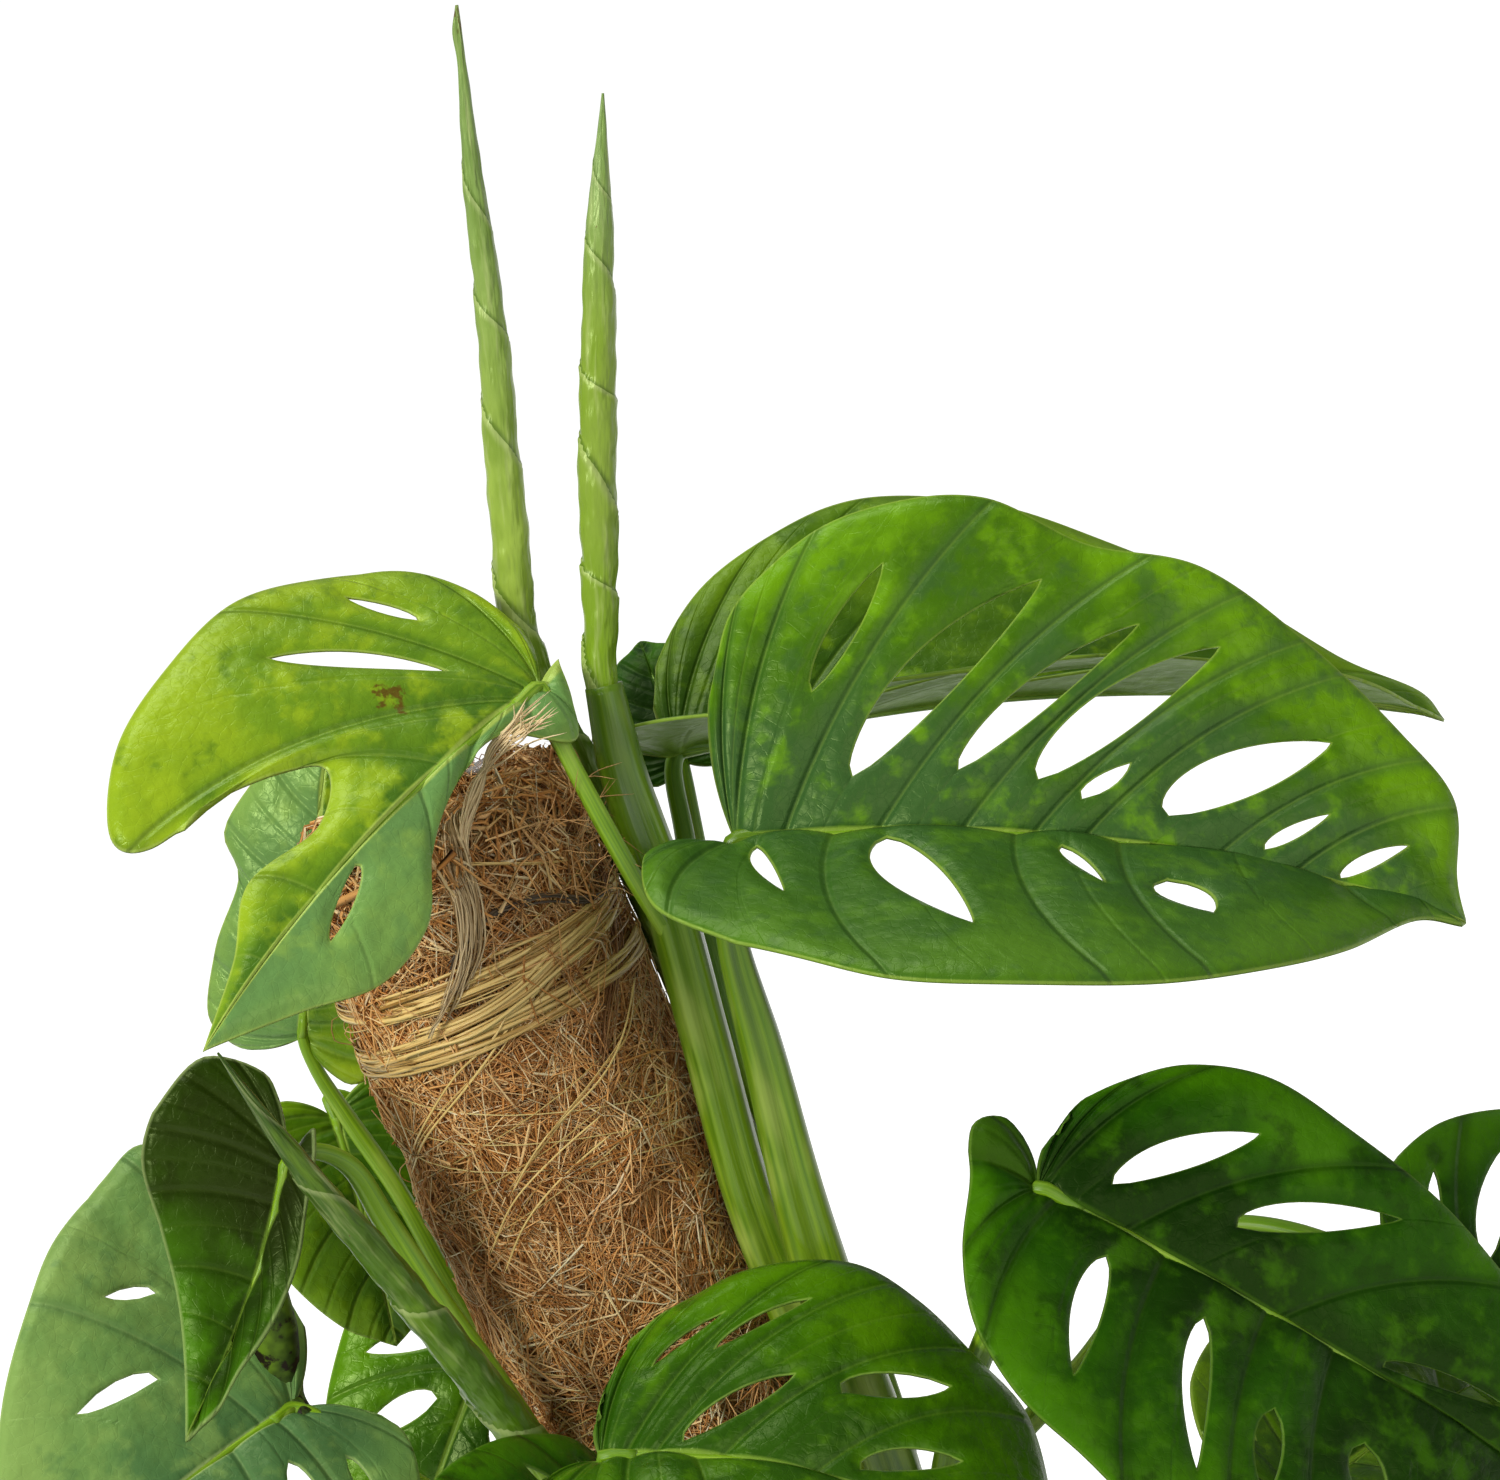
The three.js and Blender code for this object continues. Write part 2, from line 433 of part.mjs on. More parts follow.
const leaves = {
  leaf_top_right: {
    joint: [55.9, -34, 446.5], tip: [183.8, -40, 376.8], face: [0, -0.88, 0.48], arch: 7, sweep: 6.5,
    rows: 6, strip: 0.13, vine: 'vine_right', colour: DEEP_GREEN,
    left: measured(6, -10, 0.06, [
      [0, -8, 27], [0, -5, 46], [0, 7, 60], [0.02, 22, 66], [0.06, 42, 67], [0.13, 63, 59],
      [0.24, 86, 57], [0.40, 109, 46], [0.58, 129, 33], [0.74, 141, 23], [0.88, 143, 8],
    ], [
      [0.319, 0.40, 0.319, 0.78, 0.020], [0.438, 0.16, 0.456, 0.84, 0.033], [0.544, 0.18, 0.562, 0.74, 0.017],
      [0.606, 0.18, 0.612, 0.80, 0.020], [0.645, 0.14, 0.651, 0.30, 0.008], [0.705, 0.14, 0.722, 0.74, 0.025],
      [0.788, 0.09, 0.794, 0.41, 0.008], [0.862, 0.05, 0.862, 0.61, 0.009],
    ]),
    right: measured(52, -8, 0.10, [
      [0, -13, 3], [0, -18, 11], [0, -16, 30], [0.02, -3, 41], [0.06, 11, 51], [0.14, 30, 59],
      [0.26, 52, 61], [0.42, 77, 55], [0.58, 99, 44], [0.72, 118, 28], [0.87, 135, 5],
    ], [
      [0.331, 0.11, 0.394, 0.46, 0.019], [0.506, 0.06, 0.556, 0.64, 0.028],
      [0.644, 0.10, 0.669, 0.35, 0.008], [0.719, 0.29, 0.738, 0.58, 0.020],
    ]),
    stalks: [{
      points: [[32, -21, 284], [37, -32, 312], [38.1, -34, 339], [41, -33, 373], [45, -32, 402],
        [48.5, -32, 430], [53, -33, 442], 'blade'],
      radii: [5, 6.2, 6.3, 5.8, 5, 4.2, 2.8, 1.2], steps: 14, sides: 8,
    }],
  },
  leaf_behind_top_right: {
    joint: [51.5, 18, 455.3], tip: [202.6, 45, 394.2], face: [0, -0.75, 0.66], arch: 10, sweep: 4,
    strip: 0.13, vine: 'vine_right', colour: FRESH_GREEN,
    left: measured(-8, -8, 0.06, [
      [0, -3, 12], [0, 1, 26], [0, 11, 39], [0, 26, 49], [0.02, 42, 56], [0.06, 57, 57],
      [0.13, 78, 51], [0.26, 99, 41], [0.42, 123, 27], [0.60, 144, 13], [0.80, 161, 7],
    ], [[0.70, 0.25, 0.73, 0.50, 0.010]]),
    right: plain(0.55, 75, { curl: -20 }),
    stalks: [{
      points: [[32, -21, 280], [41, -15, 312], [42, -4, 350], [40, 4, 385], [43, 11, 418], [46.5, 15, 440],
        'blade'],
      radii: [2.6, 2.8, 2.6, 2.4, 1.6], steps: 10,
    }],
  },
  leaf_lower_right: {
    joint: [85.5, -70, 368.5], tip: [163.5, -70, 262], face: [0.15, -0.80, 0.60], arch: 6,
    rows: 6, strip: 0.13, vine: 'vine_right', colour: DARK_GREEN,
    left: measured(10, -14, 0.08, [
      [0, -3, 7], [0, -1, 18], [0, 5, 27], [0, 15, 36], [0.03, 30, 41], [0.08, 49, 40],
      [0.18, 69, 37], [0.34, 88, 32], [0.55, 108, 24], [0.78, 122, 12],
    ], [
      [0.475, 0.14, 0.494, 0.68, 0.034], [0.625, 0.24, 0.650, 0.76, 0.024], [0.806, 0.06, 0.869, 0.40, 0.016],
    ]),
    right: measured(10, -14, 0.08, [
      [0, -6, -8], [0, -12, -10], [0, -17, -5], [0, -13, 6], [0, -9, 20], [0.02, -2, 32],
      [0.07, 11, 41], [0.14, 26, 46], [0.25, 44, 51], [0.40, 67, 52], [0.58, 94, 43], [0.80, 115, 24],
    ], [
      [0.575, 0.15, 0.575, 0.71, 0.021], [0.694, 0.16, 0.712, 0.70, 0.013],
      [0.765, 0.34, 0.765, 0.68, 0.010], [0.830, 0.31, 0.838, 0.62, 0.012],
    ]),
    stalks: [{
      points: [[32, -21, 262], [40, -28, 286], [46.7, -37, 309], [56.5, -45, 326], [73.5, -56, 349],
        [83, -67, 365.5], 'blade'],
      radii: [3.4, 3.2, 2.8, 2.6, 1.4], steps: 9,
    }],
  },
  leaf_far_right: {
    joint: [154.9, -15, 291.8], tip: [219, 40, 251], face: [0.1, -0.75, 0.65], arch: 7,
    strip: 0.2, vine: 'vine_back_right', colour: DEEP_GREEN,
    left: plain(1, 15), right: plain(1, 20),
    stalks: [{
      points: [[27, 27, 262], [45, 25, 280], [80, 19, 300], [115, 8, 322], [144, -8, 308], 'blade'],
      radii: [2.8, 2.6, 2.4, 2.2, 1.3],
    }],
  },
  leaf_under_right: {
    joint: [111.1, -42, 278.6], tip: [166.4, 20, 263.3], face: [0, -0.75, 0.65], arch: 5,
    strip: 0.2, vine: 'vine_right', colour: FRESH_GREEN,
    left: plain(1, 15), right: plain(1, 20),
    stalks: [{
      points: [[32, -21, 225], [48, -27, 243], [72, -34, 264], [100, -41, 280], 'blade'],
      radii: [2.8, 2.6, 2.4, 1.3],
    }],
  },
  leaf_behind_spears: {
    joint: [51.6, 40, 448.3], tip: [52.4, 62, 470.6], face: [0, -0.9, 0.4], arch: 2,
    rows: 4, strip: 0.2, vine: 'vine_back_right', colour: DARK_GREEN,
    left: plain(1, 10, { holes: [] }), right: plain(1, 10, { holes: [] }),
    stalks: [{
      points: [[27, 27, 318], [33, 33, 345], [40, 38, 390], [48, 39, 430], 'blade'],
      radii: [2.4, 2.2, 2, 1],
    }],
  },
  leaf_top_left: {
    joint: [31.8, -22, 487.3], tip: [-50.7, -88, 460.6], face: [-0.30, -0.80, 0.50], arch: 5, sweep: -2,
    strip: 0.1, vine: 'vine_right', colour: PALE_GREEN,
    left: measured(-25, -0.5, 0.05, [
      [0, -8, -1], [0, -2, 7], [0, 5, 13], [0.08, 16, 3], [0.20, 32, 5], [0.32, 46, 11],
      [0.45, 60, 20], [0.60, 76, 20], [0.80, 91, 11],
    ], [[0.740, 0.08, 0.820, 0.42, 0.024]]),
    right: measured(16, -8, 0.07, [
      [0, -9, 10], [0, -10, 24], [0, -5, 38], [0, 7, 48], [0.02, 24, 55], [0.025, 46, 54], [0.03, 67, 50],
      [0.037, 83, 40], [0.08, 80, 32], [0.16, 62, 27], [0.315, 45, 17], [0.47, 57, 9], [0.66, 76, 12],
      [0.82, 91, 5],
    ], [[0.244, 0.50, 0.244, 0.78, 0.013], [0.369, 0.22, 0.363, 0.71, 0.022]]),
    stalks: [{
      points: [[32, -21, 300], [31, -21, 340], [31.4, -20.5, 373], [35.4, -18, 407], [38.9, -16, 436],
        [40, -13, 461], [43.1, -10.5, 480]],
      radii: [5, 5, 5, 5, 5, 5, 4.6], steps: 12, sides: 8,
    }, {
      points: [[37, -17, 425], [34.5, -23.5, 445], [32.6, -26, 463], [31.4, -25, 477], 'blade'],
      radii: [1.6, 1.9, 1.9, 1.7, 1.2], steps: 8, sides: 6,
    }],
  },
  leaf_behind_top_left: {
    joint: [-43, 36, 424.9], tip: [-11.8, 44, 484.7], face: [-0.1, -0.95, 0.25], arch: 3,
    rows: 4, strip: 0.2, vine: 'vine_back_left', colour: PALE_GREEN,
    left: measured(-10, -10, 0.06, [
      [0, -3, 4], [0, -4, 14], [0, 2, 21], [0.10, 16, 21], [0.25, 31, 17], [0.42, 41, 21],
      [0.62, 54, 14], [0.82, 63, 7],
    ]),
    right: plain(0.8, -5, { holes: [] }),
    stalks: [{
      points: [[-29, 24, 344], [-34, 31, 362], [-37, 34, 387], [-41, 36, 406], [-43, 36.5, 418], 'blade'],
      radii: [2.2, 2, 2, 1.1],
    }],
  },
  leaf_cupped_left: {
    joint: [-48.5, -46, 423.5], tip: [-85.8, -66, 384.7], face: [-0.45, -0.80, 0.1], arch: -6,
    vine: 'vine_left', colour: FRESH_GREEN,
    left: plain(0.5, 15, { curl: 10, holes: [] }),
    right: measured(15, 30, 0.06, [
      [0, -9, 4], [0, -15, 10], [0, -14, 22], [0, -3, 27], [0.08, 9, 28], [0.25, 20, 21], [0.60, 34, 12],
    ]),
    stalks: [{
      points: [[-26, -26, 328], [-27, -30, 346], [-29, -32, 360], [-33, -35, 382], [-36, -38, 403],
        [-38, -42, 417], [-43, -45, 423], 'blade'],
      radii: [3.4, 3.3, 3.1, 2.8, 2.2, 1.2], steps: 12,
    }],
  },
  leaf_big_left: {
    joint: [-68.3, -28, 371], tip: [-143.7, -75, 357.8], face: [-0.35, -0.85, 0.40], arch: 8,
    rows: 6, vine: 'vine_left', colour: DEEP_GREEN,
    left: plain(1, 5, { curl: -20 }),
    right: measured(12, -6, 0.08, [
      [0, -14, 11], [0, -21, 41], [0, -18, 61], [0, -5, 61], [0.04, 13, 56], [0.10, 29, 47],
      [0.20, 44, 37], [0.38, 58, 25], [0.65, 75, 11],
    ], [[0.440, 0.61, 0.500, 0.76, 0.018], [0.600, 0.42, 0.700, 0.66, 0.030]]),
    stalks: [{
      points: [[-26, -26, 298], [-36, -28, 320], [-54, -30, 350], [-63, -29.5, 365], 'blade'],
      radii: [3.6, 3.6, 3.2, 2.6, 1.4], steps: 8,
    }, {
      points: [[-66, -29.5, 368.6], [-69.3, -22, 372], [-65, -21, 391], [-60, -21, 408]],
      radii: [1.5, 4.5, 5, 3.4, 1], steps: 8,
    }],
  },
  leaf_backlit_left: {
    joint: [-44.7, 52, 402], tip: [-51.2, 47, 352], face: [0.2, -0.95, 0.2], arch: 3,
    rows: 4, strip: 0.2, vine: 'vine_back_left', colour: PALE_GREEN,
    left: plain(1, 5, { holes: [] }), right: plain(1, 5, { holes: [] }),
    stalks: [{
      points: [[-29, 24, 322], [-26, 36, 334], [-28, 48, 352], [-34, 56, 385], [-40, 57, 403],
        [-44.6, 55, 406.5], 'blade'],
      radii: [2, 1.9, 1.8, 1.4, 1], steps: 10,
    }],
  },
  leaf_lower_left: {
    joint: [-28.5, 62, 346], tip: [-74.2, 50, 297], face: [-0.2, -0.9, 0.3], arch: 4,
    strip: 0.2, vine: 'vine_back_left', colour: FRESH_GREEN,
    left: plain(1, 5), right: plain(1, 5),
    stalks: [{
      points: [[-29, 24, 296], [-24, 42, 308], [-25, 58, 330], 'blade'],
      radii: [2.2, 2, 1.2], steps: 8,
    }],
  },
  leaf_front: {
    joint: [-12.2, -76, 353.2], tip: [56.4, -84, 297.6], face: [0.1, -0.72, 0.69], arch: 8, sweep: 6,
    rows: 6, strip: 0.13, vine: 'vine_right', colour: FRESH_GREEN,
    left: measured(0.1, -30, 0.08, [
      [0, -3, 5], [0, -3, 15], [0, 1, 29], [0, 8, 37], [0.02, 18, 44], [0.06, 37, 49],
      [0.14, 52, 45], [0.26, 66, 39], [0.42, 78, 33], [0.60, 86, 22], [0.80, 89, 11],
    ], [
      [0.363, 0.41, 0.410, 0.65, 0.014], [0.458, 0.43, 0.490, 0.74, 0.014], [0.550, 0.05, 0.595, 0.40, 0.028],
      [0.663, 0.40, 0.700, 0.74, 0.031], [0.775, 0.10, 0.812, 0.50, 0.021],
    ]),
    right: plain(1, 30, { curl: -20 }),
    stalks: [{
      points: [[32, -21, 240], [24, -36, 262], [8, -52, 296], [-6, -68, 332], [-11, -74.5, 348], 'blade'],
      radii: [3, 2.8, 2.6, 1.4],
    }],
  },
  leaf_front_dark: {
    joint: [-10.1, -64, 322], tip: [-49.8, -100, 362], face: [-0.1, -0.6, 0.8], arch: 5,
    strip: 0.2, vine: 'vine_left', colour: DARK_GREEN,
    left: plain(0.9, 10), right: plain(0.9, 10),
    stalks: [{
      points: [[-26, -26, 262], [-22, -40, 280], [-13, -56, 305], 'blade'],
      radii: [2.6, 2.4, 1.3], steps: 8,
    }],
  },
};

// Low leaves round the rest of the pot, all of ordinary outline, each on an arched stalk from its vine
const lowLeaves = {
  leaf_low_front_right: { vine: 'vine_right', level: 185, joint: [92, -82, 240], tip: [150, -146, 196] },
  leaf_low_front_left: { vine: 'vine_left', level: 180, joint: [-60, -88, 238], tip: [-112, -156, 196] },
  leaf_low_front: { vine: 'vine_right', level: 168, joint: [14, -104, 212], tip: [26, -182, 172] },
  leaf_low_side_left: { vine: 'vine_back_left', level: 205, joint: [-98, 20, 268], tip: [-176, 34, 226] },
  leaf_low_back_left: { vine: 'vine_back_left', level: 186, joint: [-42, 92, 262], tip: [-66, 168, 214] },
  leaf_low_back_right: { vine: 'vine_back_right', level: 186, joint: [62, 74, 248], tip: [112, 138, 200] },
};
for (const [name, { vine, level, joint, tip }] of Object.entries(lowLeaves)) {
  const [x, y] = vines[vine].points[0];
  const between = (share, lift) => [
    THREE.MathUtils.lerp(x, joint[0], share),
    THREE.MathUtils.lerp(y, joint[1], share),
    THREE.MathUtils.lerp(level, joint[2], share) + lift,
  ];
  leaves[name] = {
    joint, tip, face: [tip[0] / 500, tip[1] / 500, 0.9], arch: 8,
    rows: 4, strip: 0.24, vine, colour: DEEP_GREEN,
    left: plain(0.95, 12), right: plain(0.95, 12),
    stalks: [{
      points: [[x, y, level], between(0.35, 3), between(0.8, 6), 'blade'],
      radii: [2.8, 2.6, 1.4],
    }],
  };
}
for (const [name, leaf] of Object.entries(leaves)) place(name, leafSolid(leaf), leaf.colour, 0.4);

// Spears: young leaves still rolled up, one on a stalk of its own, one in a leaf's sheath, one low down
const spears = {
  spear_tall: {
    points: [[32, -21, 292], [32, -11, 310], [33.8, -6, 340], [34, 0, 400], [34, 2, 440], [32.6, 1, 468],
      [31.1, 0, 490.5], [37.8, 0, 516.2], [49.1, 0, 552.6], [58.4, 0, 587.3], [66.7, 0, 614.5]],
    radii: [2.8, 2.8, 2.8, 2.8, 2.9, 3.6, 3.9, 3.3, 2.2, 0.6], steps: 18, sides: 8, vine: 'vine_right',
  },
  spear_short: {
    points: [[43.1, -10, 480 + GAP * 2.5], [48.8, -9, 496], [60.3, -8, 525.7], [74.5, -7, 560.4],
      [86.6, -6, 588.6]],
    radii: [3.6, 3.9, 3.6, 2.8, 0.6], steps: 10, sides: 8,
  },
  spear_low: {
    points: [[-26, -26, 314], [-26.5, -38, 332], [-26.5, -43, 348], [-31.2, -50, 371], [-36.6, -57, 395],
      [-44.5, -66, 427], [-50.1, -70, 454.6]],
    radii: [4, 4.4, 4.2, 3.6, 2.6, 0.6], steps: 12, sides: 8, vine: 'vine_left',
  },
};
for (const [name, { points, radii, steps, sides, vine }] of Object.entries(spears)) {
  const rolled = stalk(points, radii, { steps, sides });
  place(name, vine ? rolled.subtract(grownVines[vine]) : rolled, '#8fb045', 0.35);
}

export default part;
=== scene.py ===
import bisect
import math
import random

import bpy
import numpy as np
from mathutils import Matrix, Vector, kdtree, noise


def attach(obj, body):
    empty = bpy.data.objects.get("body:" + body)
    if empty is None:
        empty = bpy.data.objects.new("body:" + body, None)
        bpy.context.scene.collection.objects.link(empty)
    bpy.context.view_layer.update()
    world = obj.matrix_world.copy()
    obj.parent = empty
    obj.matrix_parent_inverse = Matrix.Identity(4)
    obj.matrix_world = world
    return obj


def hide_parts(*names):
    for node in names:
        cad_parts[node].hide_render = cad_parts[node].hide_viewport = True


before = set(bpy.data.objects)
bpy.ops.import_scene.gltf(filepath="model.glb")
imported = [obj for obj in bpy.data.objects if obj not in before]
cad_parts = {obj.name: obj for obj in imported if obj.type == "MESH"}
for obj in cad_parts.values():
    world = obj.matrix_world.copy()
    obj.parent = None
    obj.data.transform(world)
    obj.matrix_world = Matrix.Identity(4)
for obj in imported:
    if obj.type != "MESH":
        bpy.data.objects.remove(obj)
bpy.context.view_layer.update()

# Studio: a pale floor, an even bright room and broad softboxes, seen through a long lens.
# The plant stands upright and the camera is rolled, because the photograph leans it to the left.
scene = bpy.context.scene
MM = 0.001
ELEVATION = math.radians(13)
ROLL = math.radians(22)
ahead = Vector((0, math.cos(ELEVATION), -math.sin(ELEVATION)))
rise = Vector((0, math.sin(ELEVATION), math.cos(ELEVATION)))
level = Vector((1, 0, 0))
right = level * math.cos(ROLL) - rise * math.sin(ROLL)
up = level * math.sin(ROLL) + rise * math.cos(ROLL)
CAMERA_PLACE = (0.06595, -1.26972, 0.74929)
long_lens = bpy.data.cameras.new("long_lens")
long_lens.lens = 156
long_lens.sensor_width = 36
camera = bpy.data.objects.new("camera", long_lens)
camera.matrix_world = Matrix.Translation(CAMERA_PLACE) @ Matrix((
    (right.x, up.x, -ahead.x, 0), (right.y, up.y, -ahead.y, 0), (right.z, up.z, -ahead.z, 0), (0, 0, 0, 1)))
scene.collection.objects.link(camera)
scene.camera = camera


def softbox(name, place, target, size, watts):
    """A square area light that faces a target"""
    light = bpy.data.lights.new(name, "AREA")
    light.size = size
    light.energy = watts
    box = bpy.data.objects.new(name, light)
    box.location = place
    box.rotation_euler = (Vector(target) - Vector(place)).to_track_quat("-Z", "Y").to_euler()
    scene.collection.objects.link(box)


PLANT_MIDDLE = (0.02, 0, 0.42)
softbox("softbox_left", (-1.1, -1.2, 1.45), PLANT_MIDDLE, 0.6, 27)
softbox("softbox_right", (0.9, -1.6, 0.8), PLANT_MIDDLE, 0.8, 5.5)
softbox("softbox_above", (0.1, 0.3, 1.9), PLANT_MIDDLE, 0.9, 11)

room = bpy.data.worlds.new("room")
scene.world = room
room.use_nodes = True
daylight = room.node_tree.nodes["Background"]
daylight.inputs["Color"].default_value = (1, 1, 1, 1)
daylight.inputs["Strength"].default_value = 0.28
scene.view_settings.view_transform = "Standard"


def paint(code):
    """Linear colour of a screen colour such as #3f7a1c"""
    shades = [int(code[at:at + 2], 16) / 255 for at in (1, 3, 5)]
    return (*(s / 12.92 if s <= 0.04045 else ((s + 0.055) / 1.055) ** 2.4 for s in shades), 1)


def node_adder(tree):
    """A function that adds a node to a tree, with its inputs and settings"""
    def add(kind, inputs=None, **settings):
        node = tree.nodes.new(kind)
        for key, value in settings.items():
            setattr(node, key, value)
        for socket, value in (inputs or {}).items():
            if isinstance(value, bpy.types.NodeSocket):
                tree.links.new(value, node.inputs[socket])
            else:
                node.inputs[socket].default_value = value
        return node
    return add


def new_finish(name, colour, roughness, specular=0.5, more=None):
    """A material, its node adder, and a function that links a value to its shader"""
    material = bpy.data.materials.new(name)
    material.use_nodes = True
    tree = material.node_tree
    shader = tree.nodes["Principled BSDF"]
    constants = {"Base Color": paint(colour), "Roughness": roughness, "Specular IOR Level": specular}
    for socket, value in {**constants, **(more or {})}.items():
        shader.inputs[socket].default_value = value

    def drive(socket, value):
        tree.links.new(value, shader.inputs[socket])

    return material, node_adder(tree), drive


def blend(add, share, first, second):
    """Colour between two, each a screen colour or the colour of another node"""
    first, second = (paint(colour) if isinstance(colour, str) else colour for colour in (first, second))
    return add("ShaderNodeMix", {0: share, 6: first, 7: second}, data_type="RGBA").outputs[2]


def grain(add, vector, scale, detail=3.0, rough=0.55):
    """Noise between 0 and 1 in a coordinate system"""
    return add("ShaderNodeTexNoise", {"Vector": vector, "Scale": scale, "Detail": detail,
                                      "Roughness": rough}).outputs["Fac"]


def place_on(add):
    """The piece's own coordinates, in metres"""
    return add("ShaderNodeTexCoord").outputs["Object"]


def mesh_piece(name, points, faces, finishes, layers=None, vectors=None, finish_of=None):
    """A smooth mesh object from points in millimetres, with its values and coordinates on the points"""
    mesh = bpy.data.meshes.new(name)
    mesh.from_pydata((np.asarray(points, float) * MM).tolist(), [], faces)
    for finish in finishes:
        mesh.materials.append(finish)
    for layer, values in (layers or {}).items():
        mesh.attributes.new(layer, "FLOAT", "POINT").data.foreach_set("value", np.asarray(values, float))
    for layer, values in (vectors or {}).items():
        mesh.attributes.new(layer, "FLOAT_VECTOR", "POINT").data.foreach_set(
            "vector", np.asarray(values, float).ravel())
    if finish_of is not None:
        mesh.polygons.foreach_set("material_index", finish_of)
    mesh.shade_smooth()
    mesh.update()
    piece = bpy.data.objects.new(name, mesh)
    scene.collection.objects.link(piece)
    return piece


FLOOR_REACH = 30000
floor_finish, add, drive = new_finish("floor_paper", "#f4f4f2", 0.9, 0.1, {
    "Emission Color": (1, 1, 1, 1), "Emission Strength": 0.8})
drive("Base Color", blend(add, grain(add, place_on(add), 4), "#f5f5f3", "#f0f0ee"))
floor = mesh_piece("floor", [
    (x * FLOOR_REACH, y * FLOOR_REACH, 0) for x, y in ((-1, -1), (1, -1), (1, 1), (-1, 1))],
    [(0, 1, 2, 3)], [floor_finish])
floor.visible_diffuse = False


# Nursery pot: one thin shell of moulded plastic with a deep collar to lift it by. Its floor has
# eight drain holes, and its matt skin keeps the faint rings and dust of its mould.
POT_HEIGHT = 170
POT_TOP_RADIUS = 95
POT_BASE_RADIUS = 70
POT_WALL = 1.8
POT_FLOOR = 2.7
POT_RIM_WIDTH = 5
POT_RIM_DEPTH = 14
DRAIN_HOLES = 8
DRAIN_CIRCLE = 48
DRAIN_RADIUS = 5


def turned(profile, sides):
    """Points and faces of a profile of radius and height turned about the pole; it closes on the axis"""
    angles = np.arange(sides) * (2 * math.pi / sides)
    points = [(0, 0, profile[0][1]), (0, 0, profile[-1][1])]
    rings = profile[1:-1]
    for radius, height in rings:
        points.extend((radius * math.cos(a), radius * math.sin(a), height) for a in angles)
    faces = []
    for side in range(sides):
        nearby = (side + 1) % sides
        faces.append((0, 2 + nearby, 2 + side))
        for ring in range(len(rings) - 1):
            low, high = 2 + ring * sides, 2 + (ring + 1) * sides
            faces.append((low + side, low + nearby, high + nearby, high + side))
        last = 2 + (len(rings) - 1) * sides
        faces.append((1, last + side, last + nearby))
    return points, faces


def pot_radius(height):
    return POT_BASE_RADIUS + (POT_TOP_RADIUS - POT_BASE_RADIUS) * height / POT_HEIGHT


def fade(add, value, low, high, start=0.0, end=1.0):
    """A value carried smoothly from one range to another"""
    return add("ShaderNodeMapRange", {0: value, 1: low, 2: high, 3: start, 4: end},
               interpolation_type="SMOOTHSTEP").outputs[0]


def maths(add, kind, first, second=0.0):
    """Arithmetic on one or two values"""
    return add("ShaderNodeMath", {0: first, 1: second}, operation=kind).outputs[0]


def plus(add, first, second):
    return maths(add, "ADD", first, second)


def times(add, first, second):
    return maths(add, "MULTIPLY", first, second)


def stretched(add, vector, scale):
    """Coordinates stretched along their axes"""
    return add("ShaderNodeMapping", {"Vector": vector, "Scale": scale}).outputs[0]


def relief(add, drive, height, strength, distance):
    """Low relief from a height"""
    bump = add("ShaderNodeBump", {"Height": height, "Strength": strength, "Distance": distance})
    drive("Normal", bump.outputs[0])


def fixed(piece, slot, *nodes):
    """A piece of the plant rides on its one body and stands for its solids"""
    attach(piece, "root")
    if nodes:
        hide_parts(*nodes)


def applied(piece):
    """Makes a piece's modifiers part of its mesh"""
    mesh = bpy.data.meshes.new_from_object(piece.evaluated_get(bpy.context.evaluated_depsgraph_get()))
    piece.modifiers.clear()
    piece.data = mesh


collar = POT_HEIGHT - POT_RIM_DEPTH
collar_in = pot_radius(collar)
collar_out = collar_in + POT_RIM_WIDTH
rim_out = POT_TOP_RADIUS + POT_RIM_WIDTH
mouth = POT_TOP_RADIUS - POT_WALL
hollow_foot = POT_BASE_RADIUS - POT_WALL
pot_profile = [
    (0, 0), (POT_BASE_RADIUS - 8, 0), (POT_BASE_RADIUS - 1.5, 0), (POT_BASE_RADIUS - 0.4, 0.5),
    (POT_BASE_RADIUS + 0.2, 1.6), *((pot_radius(height), height) for height in (30, 60, 90, 120)),
    (collar_in - 0.2, collar - 1), (collar_in + 0.6, collar - 0.1), (collar_out - 1, collar + 0.4),
    (collar_out, collar + 1.6), (rim_out - 0.4, POT_HEIGHT - 3), (rim_out - 0.2, POT_HEIGHT - 1.4),
    (rim_out - 1.2, POT_HEIGHT - 0.3), (rim_out - 2.4, POT_HEIGHT), (mouth + 1, POT_HEIGHT - 0.1),
    (mouth, POT_HEIGHT - 1), (pot_radius(90) - POT_WALL, 90), (hollow_foot, POT_FLOOR + 2),
    (hollow_foot - 2, POT_FLOOR), (0, POT_FLOOR),
]
pot_finish, add, drive = new_finish("moulded_pot", "#4b3a30", 0.55, 0.4)
place = place_on(add)
mould_rings = grain(add, stretched(add, place, (4, 4, 900)), 1.0, 2)
flecks = grain(add, place, 900, 3)
dust = times(add, fade(add, grain(add, place, 60, 5), 0.4, 0.8, 0.1, 0.7), fade(add, flecks, 0.4, 0.7))
drive("Base Color", blend(add, dust, "#45362d", "#75665a"))
drive("Roughness", fade(add, flecks, 0.3, 0.7, 0.5, 0.62))
relief(add, drive, plus(add, mould_rings, grain(add, place, 1400, 2)), 0.2, 0.0003)
pot = mesh_piece("pot_shell", *turned(pot_profile, 128), [pot_finish])
drill_points, drill_faces = [], []
